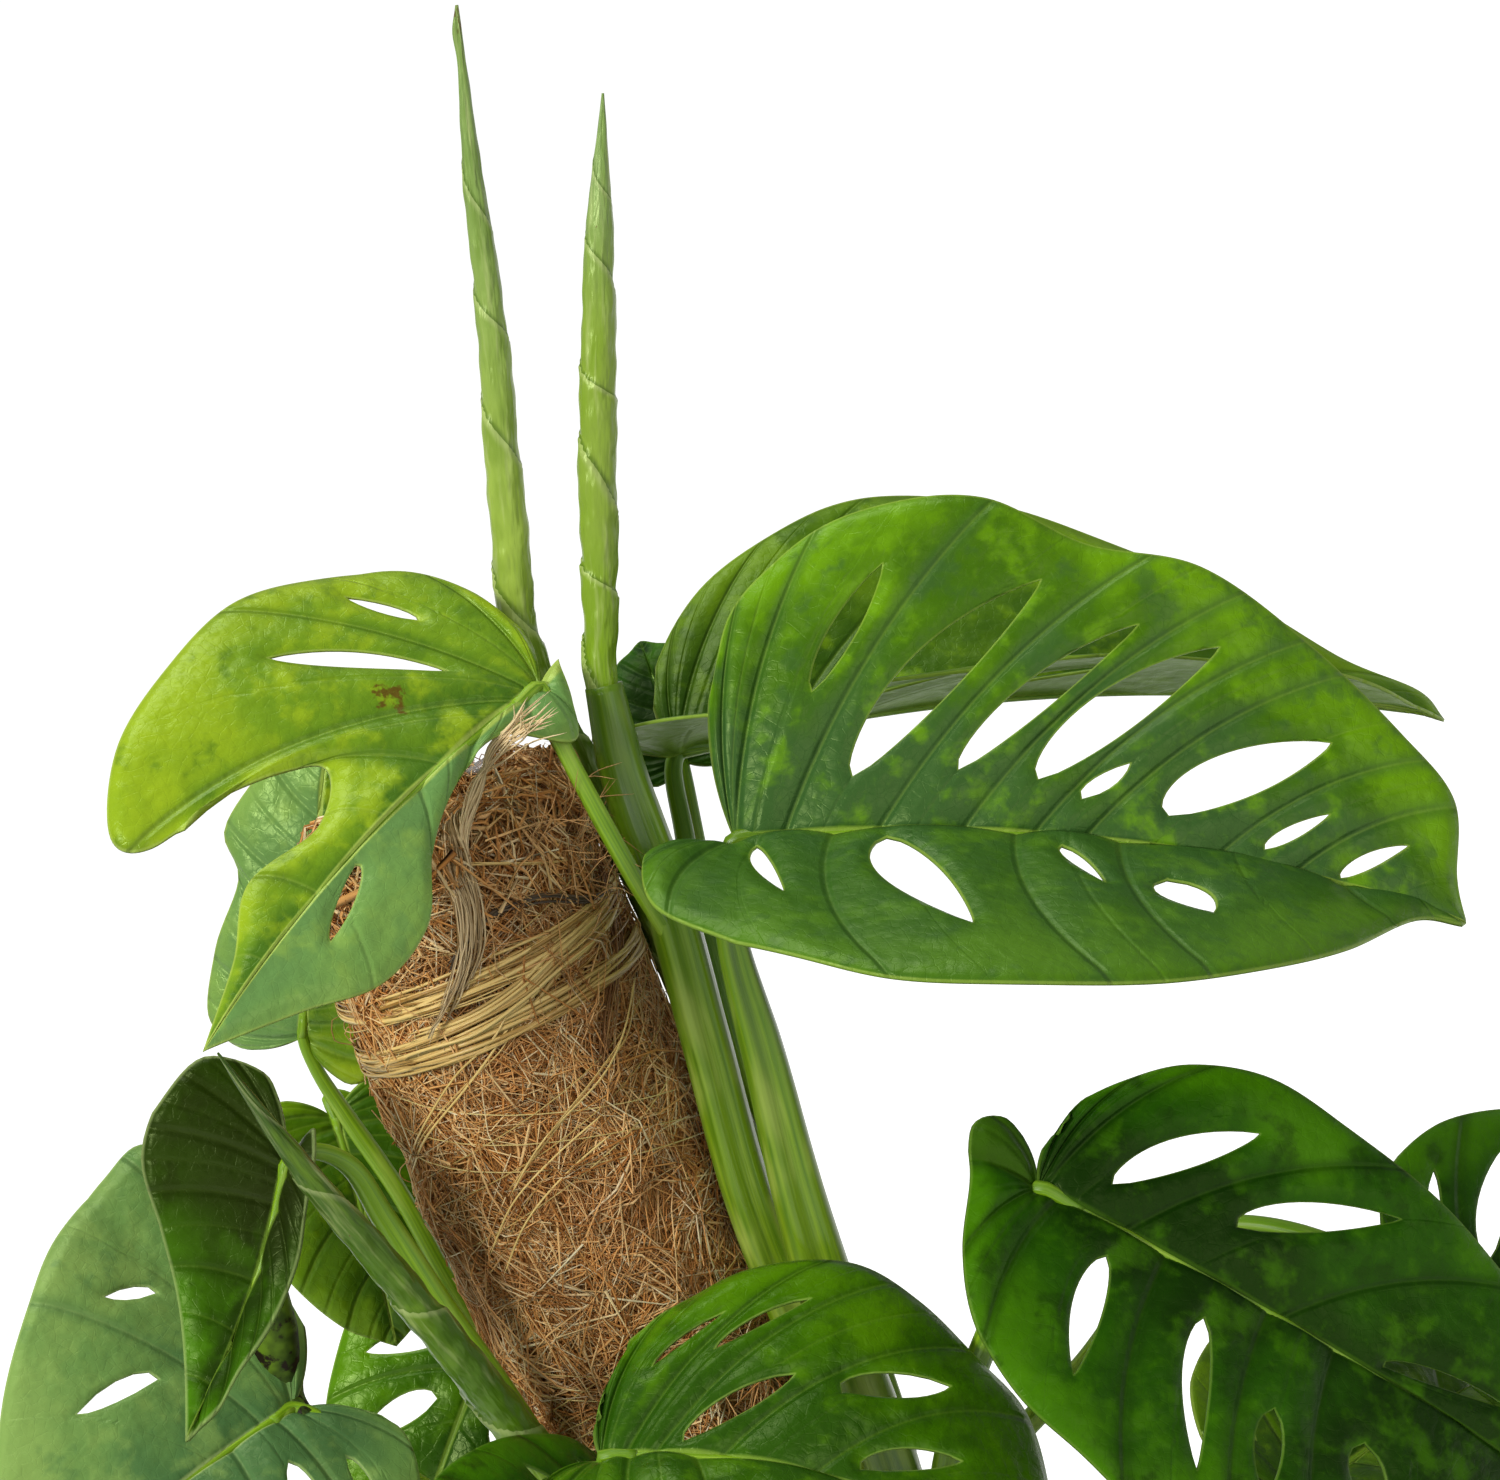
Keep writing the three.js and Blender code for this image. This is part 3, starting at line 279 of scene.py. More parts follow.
for hole in range(DRAIN_HOLES):
    turn = (hole + 0.5) / DRAIN_HOLES * 2 * math.pi
    bit_points, bit_faces = turned([(0, -4), (DRAIN_RADIUS, -4), (DRAIN_RADIUS, 8), (0, 8)], 24)
    shift = len(drill_points)
    drill_points += [(x + math.cos(turn) * DRAIN_CIRCLE, y + math.sin(turn) * DRAIN_CIRCLE, z)
                     for x, y, z in bit_points]
    drill_faces += [tuple(corner + shift for corner in face) for face in bit_faces]
drills = mesh_piece("drain_drills", drill_points, drill_faces, [pot_finish])
cut = pot.modifiers.new("drain_holes", "BOOLEAN")
cut.object = drills
cut.operation = "DIFFERENCE"
applied(pot)
bpy.data.objects.remove(drills)
pot.data.shade_smooth()
pot.data.set_sharp_from_angle(angle=math.radians(40))
fixed(pot, "pot", "pot")


# Potting mix: dark peat heaped to the pole, with coarse bark and grains of white perlite pressed
# into its top. It fills the pot and holds the pole and the vines.
SOIL_LEVEL = 150
SOIL_MOUND = 5


def geometry_tree(name, fields):
    """An empty geometry tree with named inputs: the tree, its inputs, a node adder and its last step"""
    tree = bpy.data.node_groups.new(name, "GeometryNodeTree")
    tree.interface.new_socket("Geometry", in_out="INPUT", socket_type="NodeSocketGeometry")
    for label, kind in fields.items():
        tree.interface.new_socket(label, in_out="INPUT", socket_type="NodeSocket" + kind)
    tree.interface.new_socket("Geometry", in_out="OUTPUT", socket_type="NodeSocketGeometry")
    field, add = tree.nodes.new("NodeGroupInput").outputs, node_adder(tree)

    def close(geometry):
        coated = add("GeometryNodeSetMaterial", {"Geometry": geometry, "Material": field["Finish"]})
        tree.links.new(coated.outputs[0], tree.nodes.new("NodeGroupOutput").inputs[0])

    return tree, field, add, close


def made_by(tree, name, base, values):
    """Runs a geometry tree on a mesh and keeps the result as a plain mesh"""
    piece = bpy.data.objects.new(name, base)
    scene.collection.objects.link(piece)
    rule = piece.modifiers.new(name, "NODES")
    rule.node_group = tree
    sockets = {item.name: item.identifier for item in tree.interface.items_tree if item.in_out == "INPUT"}
    for label, value in values.items():
        rule[sockets[label]] = value
    applied(piece)
    return piece


def soil_height(x, y):
    reach = math.hypot(x, y)
    mound = SOIL_MOUND * max(0.0, 1 - max(0.0, reach - 40) / 50)
    clods = noise.noise(Vector((x, y, 3)) * 0.09) * 2.2 + noise.noise(Vector((x, y, 9)) * 0.3) * 0.9
    return SOIL_LEVEL + mound - 1.5 + clods


SOIL_RINGS = 44
SOIL_SIDES = 120
soil_edge = pot_radius(SOIL_LEVEL) - POT_WALL - 0.6
soil_foot = POT_FLOOR + 0.4
heap = [(soil_edge * (1 - ring / SOIL_RINGS), None) for ring in range(SOIL_RINGS)]
soil_points, soil_faces = turned(
    [(0, soil_foot), (hollow_foot - 2.4, soil_foot), *heap, (0, SOIL_LEVEL)], SOIL_SIDES)
soil_points = [(x, y, soil_height(x, y) if z is None else z) for x, y, z in soil_points]
peat_finish, add, drive = new_finish("peat", "#2e2118", 0.95, 0.15)
crumbs = grain(add, place_on(add), 420, 6, 0.7)
drive("Base Color", blend(add, fade(add, crumbs, 0.35, 0.7), "#17100b", "#4d392a"))
relief(add, drive, crumbs, 0.9, 0.0015)
soil = mesh_piece("peat_fill", soil_points, soil_faces, [peat_finish])
fixed(soil, "soil", "soil")

chips_tree, field, add, close = geometry_tree("bark_chips", {
    "Density": "Float", "Chip size": "Float", "Flatness": "Float", "Seed": "Int", "Finish": "Material"})
spots = add("GeometryNodeDistributePointsOnFaces", {
    "Mesh": field["Geometry"], "Density": field["Density"], "Seed": field["Seed"]})
chip = add("GeometryNodeMeshIcoSphere", {"Radius": 0.5, "Subdivisions": 1})


def random_vector(low, high, seed):
    """A random vector for each chip or fibre, in the tree that add builds"""
    return add("FunctionNodeRandomValue", {0: low, 1: high, "Seed": seed},
               data_type="FLOAT_VECTOR").outputs[0]


def vector_maths(kind, first, second):
    """Arithmetic on two vectors, or on a vector and a size, in the same tree"""
    return add("ShaderNodeVectorMath", {0: first, "Scale" if kind == "SCALE" else 1: second},
               operation=kind).outputs[0]


spread = random_vector((0.5, 0.3, 0.2), (1.6, 0.9, 0.5), field["Seed"])
sizes = vector_maths("SCALE", spread, field["Chip size"])
flat = add("ShaderNodeCombineXYZ", {0: 1.0, 1: 1.0, 2: field["Flatness"]})
chips = add("GeometryNodeInstanceOnPoints", {
    "Points": spots.outputs["Points"], "Instance": chip.outputs["Mesh"],
    "Rotation": random_vector((-0.7, -0.7, 0), (0.7, 0.7, 6.28), field["Seed"]),
    "Scale": vector_maths("MULTIPLY", sizes, flat.outputs[0])})
loose = add("GeometryNodeRealizeInstances", {0: chips.outputs[0]})
crumble = add("ShaderNodeTexNoise", {"Vector": add("GeometryNodeInputPosition").outputs[0], "Scale": 420.0})
pull = vector_maths("SUBTRACT", crumble.outputs["Color"], (0.5, 0.5, 0.5))
close(add("GeometryNodeSetPosition", {
    "Geometry": loose.outputs[0], "Offset": vector_maths("SCALE", pull, 0.0035)}).outputs[0])


def soil_ring(name, inner, outer, sides=48):
    """A flat ring on the soil that chips are strewn over"""
    mesh = bpy.data.meshes.new(name)
    points, faces = [], []
    for side in range(sides):
        turn = side / sides * 2 * math.pi
        for reach in (inner, outer):
            x, y = reach * math.cos(turn), reach * math.sin(turn)
            points.append((x * MM, y * MM, (soil_height(x, y) + 0.6) * MM))
        nearby = (side + 1) % sides
        faces.append((2 * side, 2 * side + 1, 2 * nearby + 1, 2 * nearby))
    mesh.from_pydata(points, [], faces)
    return mesh


bark_finish, add, drive = new_finish("bark", "#5a3d28", 0.85, 0.25)
place = place_on(add)
drive("Base Color", blend(add, fade(add, grain(add, place, 90, 2), 0.35, 0.65), "#2f2017", "#7a5538"))
relief(add, drive, grain(add, place, 1500, 4), 0.6, 0.0006)
perlite_finish, add, drive = new_finish("perlite", "#e6e2d8", 0.8, 0.3)
place = place_on(add)
drive("Base Color", blend(add, grain(add, place, 500, 3), "#cfc8b8", "#f2efe6"))
relief(add, drive, grain(add, place, 2500, 3), 0.6, 0.0005)
for name, inner, outer, density, size, flatness, seed, finish in (
        ("bark_chips", 33, 82.5, 54000.0, 0.0085, 1.0, 4, bark_finish),
        ("bark_crumbs", 81, 86.5, 200000.0, 0.0036, 1.0, 4, bark_finish),
        ("perlite_grains", 33, 86, 9000.0, 0.0032, 1.6, 11, perlite_finish)):
    grains = made_by(chips_tree, name, soil_ring(name + "_bed", inner, outer), {
        "Density": density, "Chip size": size, "Flatness": flatness, "Seed": seed, "Finish": finish})
    fixed(grains, "soil")


# Core of the climbing pole: a grey-brown plastic pipe with a flat push-in cap. Only the inside of
# the sleeve's opening shows them; both keep their solids and get a scuffed plastic finish.
core_finish, add, drive = new_finish("scuffed_pipe", "#5a5148", 0.55, 0.4)
scuffs = grain(add, stretched(add, place_on(add), (300, 300, 40)), 1.0, 5)
drive("Base Color", blend(add, fade(add, scuffs, 0.45, 0.75), "#453d35", "#7b7064"))
relief(add, drive, scuffs, 0.3, 0.0004)
for node in ("core_pipe", "core_cap"):
    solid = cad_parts[node]
    solid.data.materials.clear()
    solid.data.materials.append(core_finish)


# Coir sleeve: coconut fibre felted into a mat and wrapped round the pipe, open at the top. The mat
# is a rough brown body, and thousands of single fibres lie on it in all directions.
POLE_TOP = 466
POLE_FOOT = 40
COIR_RADIUS = 29.2
COIR_SHOULDER = 4.5
PIPE_RADIUS = 19
COIR_SIDES = 150
MAT_ROWS = 110


def coir_profile():
    """Radius and height from the foot outside, over the rounded rim, down the bore"""
    outer, bore, shoulder = COIR_RADIUS - 1.1, PIPE_RADIUS + 0.3, POLE_TOP - COIR_SHOULDER
    rows = [(outer, POLE_FOOT + 0.1), (outer, 140)]
    rows += [(outer, height) for height in np.linspace(146, shoulder, MAT_ROWS)]
    middle, half = (outer + bore) / 2, (outer - bore) / 2
    for turn in np.linspace(0.15, math.pi - 0.15, 12):
        rows.append((middle + half * math.cos(turn), shoulder + COIR_SHOULDER * math.sin(turn)))
    rows += [(bore, height) for height in np.linspace(shoulder, POLE_TOP - 12, 6)]
    return [*rows, (bore, POLE_FOOT + 0.1)]


coir_rows = coir_profile()
mat_points, mat_faces = [], []
for row, (radius, height) in enumerate(coir_rows):
    loose_here = 1.0 if 2 <= row < len(coir_rows) - 1 else 0.0
    above = (row + 1) % len(coir_rows)
    for side in range(COIR_SIDES):
        turn = side / COIR_SIDES * 2 * math.pi
        spot = Vector((math.cos(turn) * radius, math.sin(turn) * radius, height))
        lumps = sum(noise.noise(spot * size) * high for size, high in ((0.07, 0.9), (0.3, 0.8), (0.8, 0.5)))
        swell = lumps * loose_here * (1 if radius > PIPE_RADIUS + 2 else 0.4)
        mat_points.append(((radius + swell) * math.cos(turn), (radius + swell) * math.sin(turn), height))
        nearby = (side + 1) % COIR_SIDES
        mat_faces.append((row * COIR_SIDES + side, row * COIR_SIDES + nearby,
                          above * COIR_SIDES + nearby, above * COIR_SIDES + side))
mat_finish, add, drive = new_finish("coir_mat", "#7a4f2a", 0.95, 0.15)
place = place_on(add)
along_strands = grain(add, stretched(add, place, (900, 900, 2600)), 1.0, 3)
cross_strands = grain(add, stretched(add, place, (2600, 2600, 700)), 1.0, 3)
strands = maths(add, "MAXIMUM", along_strands, cross_strands)
tangle = times(add, grain(add, place, 700, 6, 0.75), strands)
drive("Base Color", blend(add, fade(add, tangle, 0.12, 0.36), "#65401d", "#d29c58"))
relief(add, drive, strands, 1.0, 0.001)
sleeve = mesh_piece("coir_mat", mat_points, mat_faces, [mat_finish])
fixed(sleeve, "coir", "coir_sleeve")

fibre_tree, field, add, close = geometry_tree("coir_fibres", {
    "Density": "Float", "Fibre length": "Float", "Fibre radius": "Float", "Curl": "Float",
    "Loft": "Float", "Pole radius": "Float", "Rim radius": "Float", "Rim height": "Float",
    "Seed": "Int", "Finish": "Material"})


def xyz(x=0.0, y=0.0, z=0.0):
    """A vector from its three parts, in the same tree"""
    return add("ShaderNodeCombineXYZ", {0: x, 1: y, 2: z}).outputs[0]


half_fibre = times(add, field["Fibre length"], 0.5)
arc = add("GeometryNodeCurveQuadraticBezier", {
    "Resolution": 4, "Start": xyz(times(add, half_fibre, -1.0)),
    "Middle": xyz(0.0, times(add, half_fibre, 0.5)), "End": xyz(half_fibre)})
section = add("GeometryNodeCurvePrimitiveCircle", {"Resolution": 3, "Radius": field["Fibre radius"]})
fibre = add("GeometryNodeCurveToMesh", {"Curve": arc.outputs[0], "Profile Curve": section.outputs[0]})
spots = add("GeometryNodeDistributePointsOnFaces", {
    "Mesh": field["Geometry"], "Density": field["Density"], "Seed": field["Seed"]})
height_in_mat = add("FunctionNodeRandomValue", {2: 0.0, 3: field["Loft"], "Seed": 21}, data_type="FLOAT")
raised = add("GeometryNodeSetPosition", {
    "Geometry": spots.outputs["Points"], "Offset": xyz(0.0, 0.0, height_in_mat.outputs[1])})
laid = add("GeometryNodeInstanceOnPoints", {
    "Points": raised.outputs[0], "Instance": fibre.outputs[0],
    "Rotation": random_vector((-0.05, -0.05, 0), (0.05, 0.05, 6.28), 5),
    "Scale": random_vector((0.5, -1.4, 1), (1.5, 1.4, 1), 6)})
tone = add("FunctionNodeRandomValue", {2: 0.0, 3: 1.0, "Seed": 9}, data_type="FLOAT")
toned = add("GeometryNodeStoreNamedAttribute", {
    "Geometry": laid.outputs[0], "Name": "tone", "Value": tone.outputs[1]},
    data_type="FLOAT", domain="INSTANCE")
felt = add("GeometryNodeRealizeInstances", {0: toned.outputs[0]})
kinks = add("ShaderNodeTexNoise", {"Vector": add("GeometryNodeInputPosition").outputs[0], "Scale": 130.0,
                                   "Detail": 1.0})
kink = vector_maths("SUBTRACT", kinks.outputs["Color"], (0.5, 0.5, 0.42))
curled = add("GeometryNodeSetPosition", {
    "Geometry": felt.outputs[0], "Offset": vector_maths("SCALE", kink, field["Curl"])})
curled_place = add("GeometryNodeInputPosition").outputs[0]
round_way, climb, stand_off = add("ShaderNodeSeparateXYZ", {0: curled_place}).outputs
turn = maths(add, "DIVIDE", round_way, field["Pole radius"])
over_rim = maths(add, "DIVIDE", maths(add, "SUBTRACT", climb, field["Rim height"]), field["Rim radius"])
bend = maths(add, "MAXIMUM", over_rim, 0.0)
below = maths(add, "MINIMUM", climb, field["Rim height"])
swell = plus(add, stand_off, field["Rim radius"])
torus = maths(add, "SUBTRACT", field["Pole radius"], field["Rim radius"])
reach = plus(add, torus, times(add, swell, maths(add, "COSINE", bend)))
wrapped = xyz(times(add, reach, maths(add, "COSINE", turn)), times(add, reach, maths(add, "SINE", turn)),
              plus(add, below, times(add, swell, maths(add, "SINE", bend))))
close(add("GeometryNodeSetPosition", {"Geometry": curled.outputs[0], "Position": wrapped}).outputs[0])


def stored(add, label, output="Fac"):
    """A value or coordinate that a piece carries on its points"""
    return add("ShaderNodeAttribute", attribute_name=label).outputs[output]


fibre_finish, add, drive = new_finish("coir_fibre", "#a1733f", 0.7, 0.3)
tone = stored(add, "tone")
shade = add("ShaderNodeValToRGB", {"Fac": tone})
stops = shade.color_ramp.elements
stops[0].position, stops[0].color = 0.0, paint("#a5692c")
stops[1].position, stops[1].color = 1.0, paint("#fff2c8")
for position, colour in ((0.2, "#da9a4e"), (0.55, "#f8c27a"), (0.85, "#ffe2a4")):
    stops.new(position).color = paint(colour)
patches = fade(add, grain(add, place_on(add), 60, 3), 0.35, 0.65, 0.35, 0.0)
drive("Base Color", blend(add, patches, shade.outputs[0], "#b06c30"))


def felt_sheet(name, low, high):
    """The mat laid flat: its width is the way round the pole, its height the way up"""
    width = 2 * math.pi * COIR_RADIUS * MM
    mesh = bpy.data.meshes.new(name)
    mesh.from_pydata([(0, low * MM, 0), (width, low * MM, 0), (width, high * MM, 0), (0, high * MM, 0)], [],
                     [(0, 1, 2, 3)])
    return mesh


RIM_START = POLE_TOP - 5
FIBRE_RADIUS = 0.00015
FELT_RADIUS = COIR_RADIUS - 0.9
FELT_RIM = 0.0048
for name, low, high, density, length, curl, loft, seed in (
        ("coir_fibres_upper", 384, RIM_START, 355000.0, 0.029, 0.009, 0.0013, 1),
        ("coir_fibres_middle", 305, 384, 336000.0, 0.029, 0.009, 0.0013, 4),
        ("coir_fibres_lower", 150, 305, 80000.0, 0.03, 0.009, 0.0013, 2),
        ("coir_fibres_rim", RIM_START - 4, RIM_START + 15, 420000.0, 0.022, 0.016, 0.0026, 3)):
    fibres = made_by(fibre_tree, name, felt_sheet(name, low, high), {
        "Density": density, "Fibre length": length, "Fibre radius": FIBRE_RADIUS, "Curl": curl,
        "Loft": loft, "Pole radius": FELT_RADIUS * MM, "Rim radius": FELT_RIM,
        "Rim height": RIM_START * MM, "Seed": seed, "Finish": fibre_finish})
    fixed(fibres, "coir")


# Raffia and thread: two bands of split golden raffia tied round the sleeve, a paler hank laid over
# its rim, a net of thin yellow thread that holds the mat on, and stray fibres that stand off it.
def spline(points, share, tension_by_distance=True):
    """Points along a Catmull-Rom curve, at shares 0..1 of its spans, as the solids' curves run"""
    rows = np.asarray(points, float)
    spans = len(rows) - 1
    ends = np.vstack([2 * rows[0] - rows[1], rows, 2 * rows[-1] - rows[-2]])
    place = np.clip(np.atleast_1d(share), 0, 1) * spans
    at = np.minimum(place.astype(int), spans - 1)
    local = (place - at)[:, None]
    before, start, end, after = ends[at], ends[at + 1], ends[at + 2], ends[at + 3]
    if tension_by_distance:
        def gap(one, two):
            return np.maximum(np.sqrt(np.linalg.norm(two - one, axis=1)), 1e-4)[:, None]
        first, middle, last = gap(before, start), gap(start, end), gap(end, after)
        leave = ((start - before) / first - (end - before) / (first + middle)
                 + (end - start) / middle) * middle
        enter = ((end - start) / middle - (after - start) / (middle + last)
                 + (after - end) / last) * middle
    else:
        leave, enter = (end - before) / 2, (after - start) / 2
    return (start + leave * local + (3 * (end - start) - 2 * leave - enter) * local ** 2
            + (2 * (start - end) + leave + enter) * local ** 3)


def even_path(points, step):
    """The curve through some points as steps of even length"""
    fine = spline(points, np.linspace(0, 1, 40 * (len(points) - 1) + 1))
    travelled = np.concatenate([[0], np.cumsum(np.linalg.norm(np.diff(fine, axis=0), axis=1))])
    count = max(2, round(travelled[-1] / step))
    wanted = np.linspace(0, travelled[-1], count + 1)
    return np.stack([np.interp(wanted, travelled, fine[:, axis]) for axis in range(3)], -1), wanted


def carried_frames(path, front):
    """Directions across a path: each turned as little as possible from the last, starting at front"""
    ways = np.gradient(path, axis=0)
    ways /= np.linalg.norm(ways, axis=1)[:, None]
    facing = np.asarray(front, float)
    fronts = []
    for way in ways:
        facing = facing - facing.dot(way) * way
        facing = facing / np.linalg.norm(facing)
        fronts.append(facing)
    fronts = np.array(fronts)
    return fronts, np.cross(ways, fronts)


def swept(path, across, beside, wide, thick, sides):
    """A closed rod along a path, with its width and thickness at each step or at each point of a ring"""
    angles = np.arange(sides) * (2 * math.pi / sides)
    count = len(path)
    wide, thick = (np.reshape(size, (count, -1)) for size in (wide, thick))
    rings = (path[:, None] + across[:, None] * (np.cos(angles) * wide)[:, :, None]
             + beside[:, None] * (np.sin(angles) * thick)[:, :, None])
    faces = []
    for side in range(sides):
        nearby = (side + 1) % sides
        for row in range(count - 1):
            low, high = row * sides, (row + 1) * sides
            faces.append((low + side, low + nearby, high + nearby, high + side))
        faces.append((count * sides, nearby, side))
        faces.append((count * sides + 1, (count - 1) * sides + side, (count - 1) * sides + nearby))
    return np.vstack([rings.reshape(-1, 3), path[:1], path[-1:]]), faces


def bundle(name, strands, finish, slot, *nodes):
    """Many strands as one mesh; each has a path, a front, a width, a thickness, a tone and sides"""
    points, faces, tones, coords = [], [], [], []
    for path, front, wide, thick, tone, sides in strands:
        across, beside = carried_frames(path, front)
        steps = np.arange(len(path))
        taper = np.minimum(1, np.minimum(steps + 0.4, steps[::-1] + 0.4) / 2.5)
        rod_points, rod_faces = swept(path, beside, across, wide * taper, thick * taper, sides)
        shift = sum(len(block) for block in points)
        points.append(rod_points)
        faces += [tuple(corner + shift for corner in face) for face in rod_faces]
        tones += [tone] * len(rod_points)
        travelled = np.concatenate([[0], np.cumsum(np.linalg.norm(np.diff(path, axis=0), axis=1))])
        coords.append(np.stack([[*np.tile(np.arange(sides), len(path)), 0, 0],
                                np.full(len(rod_points), tone * 50),
                                [*np.repeat(travelled, sides), 0, travelled[-1]]], -1))
    piece = mesh_piece(name, np.vstack(points), faces, [finish], {"tone": tones},
                       {"grain": np.vstack(coords)})
    fixed(piece, slot, *nodes)


def strand_finish(name, dark, light, roughness):
    """Dry plant strands: streaked lengthways, lighter and darker from strand to strand"""
    finish, add, drive = new_finish(name, light, roughness, 0.4)
    tone = stored(add, "tone")
    coords = stored(add, "grain", "Vector")
    streaks = grain(add, stretched(add, coords, (1.2, 1, 0.12)), 1.0, 3)
    mixed = plus(add, times(add, tone, 0.6), times(add, streaks, 0.5))
    drive("Base Color", blend(add, fade(add, mixed, 0.2, 0.85), dark, light))
    relief(add, drive, streaks, 0.5, 0.0003)
    return finish


def round_the_pole(start, end, height, tilt, radius, sway, seed, steps=72):
    """A path round the sleeve from one angle to another, in degrees"""
    rng = random.Random(seed)
    phase = [rng.uniform(0, 6.28) for _ in range(4)]
    rows = []
    for turn in np.radians(np.linspace(start, end, steps)):
        wander = math.sin(2 * turn + phase[0]) * 0.75 + math.sin(5 * turn + phase[1]) * 0.25
        puff = 0.4 * math.sin(5 * turn + phase[2]) + 0.2 * math.sin(11 * turn + phase[3])
        away = radius + puff * 0.35
        x, y = away * math.cos(turn), away * math.sin(turn)
        rows.append((x, y, height + tilt * x + sway * wander))
    return np.array(rows)


TIE_TILT = 0.045
BAND_STRANDS = 26
gold_finish = strand_finish("golden_raffia", "#a0722a", "#f4d282", 0.36)
rng = random.Random(7)
for node, height in (("raffia_tie_upper", 438), ("raffia_tie_lower", 428)):
    strands = []
    for strand in range(BAND_STRANDS):
        start = rng.uniform(0, 360)
        path = round_the_pole(start, start + rng.uniform(260, 440), height + rng.gauss(0, 1.3),
                              TIE_TILT + rng.gauss(0, 0.035), COIR_RADIUS + rng.uniform(1.0, 2.2), 1.2,
                              rng.random())
        strands.append((path, (0, 0, 1), rng.uniform(0.08, 0.14), rng.uniform(0.14, 0.62), rng.random(), 5))
    bundle(node + "_strands", strands, gold_finish, "raffia", node)

HANK_STRANDS = 48
HANK_WISPS = 26
hank_finish = strand_finish("grey_raffia", "#94733e", "#f0d6a4", 0.5)
HANK = [(10, -12, 458), (8.5, -16.5, 467), (6.5, -22, 469.5), (5, -28, 469), (3.5, -31.4, 462),
        (2.6, -31.8, 453), (-1, -31.8, 444), (-6.5, -31.2, 438), (-12, -29.6, 433)]
strands = []
for strand in range(HANK_STRANDS):
    spread_out = rng.uniform(-1, 1)
    rows = []
    for at, (x, y, z) in enumerate(HANK[:rng.choice((7, 7, 8, 9, 9))]):
        loose_share = (at / 8) ** 1.3
        rows.append((x + rng.uniform(-0.7, 0.7) + spread_out * (1.2 + 3.2 * loose_share),
                     y + rng.uniform(-0.6, 0.4), z + rng.uniform(-1, 1) + spread_out * 2.5 * loose_share))
    strands.append((even_path(rows, 1.7)[0], (0, -1, 0.2), rng.uniform(0.1, 0.3), rng.uniform(0.08, 0.13),
                    rng.random(), 4))
for wisp in range(HANK_WISPS):
    lean = rng.uniform(-1, 1)
    rows = [(4.5 + lean * 1.5, -30.5 + rng.uniform(-0.8, 0.8), 459 + rng.uniform(-3, 3))]
    rows += [(x, y + rng.uniform(-1, 1), z + rng.uniform(-1, 1)) for x, y, z in (
        (7 + lean, -29.5, 467), (13.5 + lean, -28, 475), (19 - lean, -31.5, 480 + lean * 1.6),
        (25.5 - lean, -35, 483 + lean * 3))]
    rows.append((29 + rng.uniform(-3, 5), -38, 485 + lean * 4.5 + rng.uniform(-2, 2)))
    strands.append((even_path(rows, 1.5)[0], (0, -1, 0), rng.uniform(0.1, 0.26), 0.12,
                    rng.uniform(0.6, 1.3), 4))
bundle("raffia_hank_strands", strands, hank_finish, "raffia", "raffia_hank")


def laid_on(rows, away, step=1.8):
    """A path over the sleeve through some angles, in degrees, and heights"""
    spots = [((COIR_RADIUS + away) * math.cos(math.radians(turn)),
              (COIR_RADIUS + away) * math.sin(math.radians(turn)), height) for turn, height in rows]
    return even_path(spots, step)[0]


strands = []
for rows, count, spread, half in (
        (((-160, 438), (-119, 438), (-90, 438), (-62, 437), (-40, 438), (-15, 439)), 12, 1.3, 0.45),
        (((-150, 428), (-125, 430), (-100, 431), (-80, 433), (-62, 436), (-36, 438), (-10, 440)),
         16, 1.2, 0.5),
        (((-120, 470), (-100, 466), (-88, 463), (-73, 460), (-57, 456), (-40, 452)), 4, 0.8, 0.22),
        (((-78, 433), (-95, 425), (-112, 420), (-138, 411), (-165, 402)), 3, 0.8, 0.3),
        (((-30, 424), (-48, 416), (-64, 412), (-92, 404), (-112, 396)), 3, 1.0, 0.28),
        (((-70, 400), (-90, 396), (-110, 390), (-130, 380)), 3, 1.5, 0.25)):
    for strand in range(count):
        up, lift = rng.gauss(0, spread), rng.uniform(1.3, 2.6)
        loose = [(turn + rng.uniform(-2, 2), height + up + rng.gauss(0, 0.3)) for turn, height in rows]
        cut = rng.randrange(0, 2) if len(rows) > 5 else 0
        strands.append((laid_on(loose[cut:], lift), (0, 0, 1), rng.uniform(0.08, 0.13),
                        rng.uniform(0.4, 1) * half, rng.uniform(0.2, 1.2), 5))
bundle("raffia_loose_strands", strands, gold_finish, "raffia")

THREAD_STEP = 0.19
NET_FOOT, NET_TOP = 158, 452
thread_finish = strand_finish("net_thread", "#b08a34", "#f2dc92", 0.4)
strands = []
for thread, (start, pitch, way) in enumerate((
        (20, 52, 1), (140, 58, 1), (260, 47, 1), (70, 55, -1), (190, 50, -1), (310, 61, -1))):
    rows = []
    height, turn = NET_FOOT, math.radians(start)
    while height < NET_TOP:
        away = COIR_RADIUS + 1.5 + 0.6 * noise.noise(Vector((height * 0.12, thread * 7, 0)))
        rows.append((away * math.cos(turn), away * math.sin(turn),
                     height + 5 * noise.noise(Vector((height * 0.03, thread * 3, 1)))))
        turn += way * THREAD_STEP
        height += pitch * THREAD_STEP / (2 * math.pi)
    strands.append((np.array(rows), (0, 0, 1), 0.14, 0.18, 0.3 + 0.08 * thread, 4))
bundle("net_threads", strands, thread_finish, "raffia")

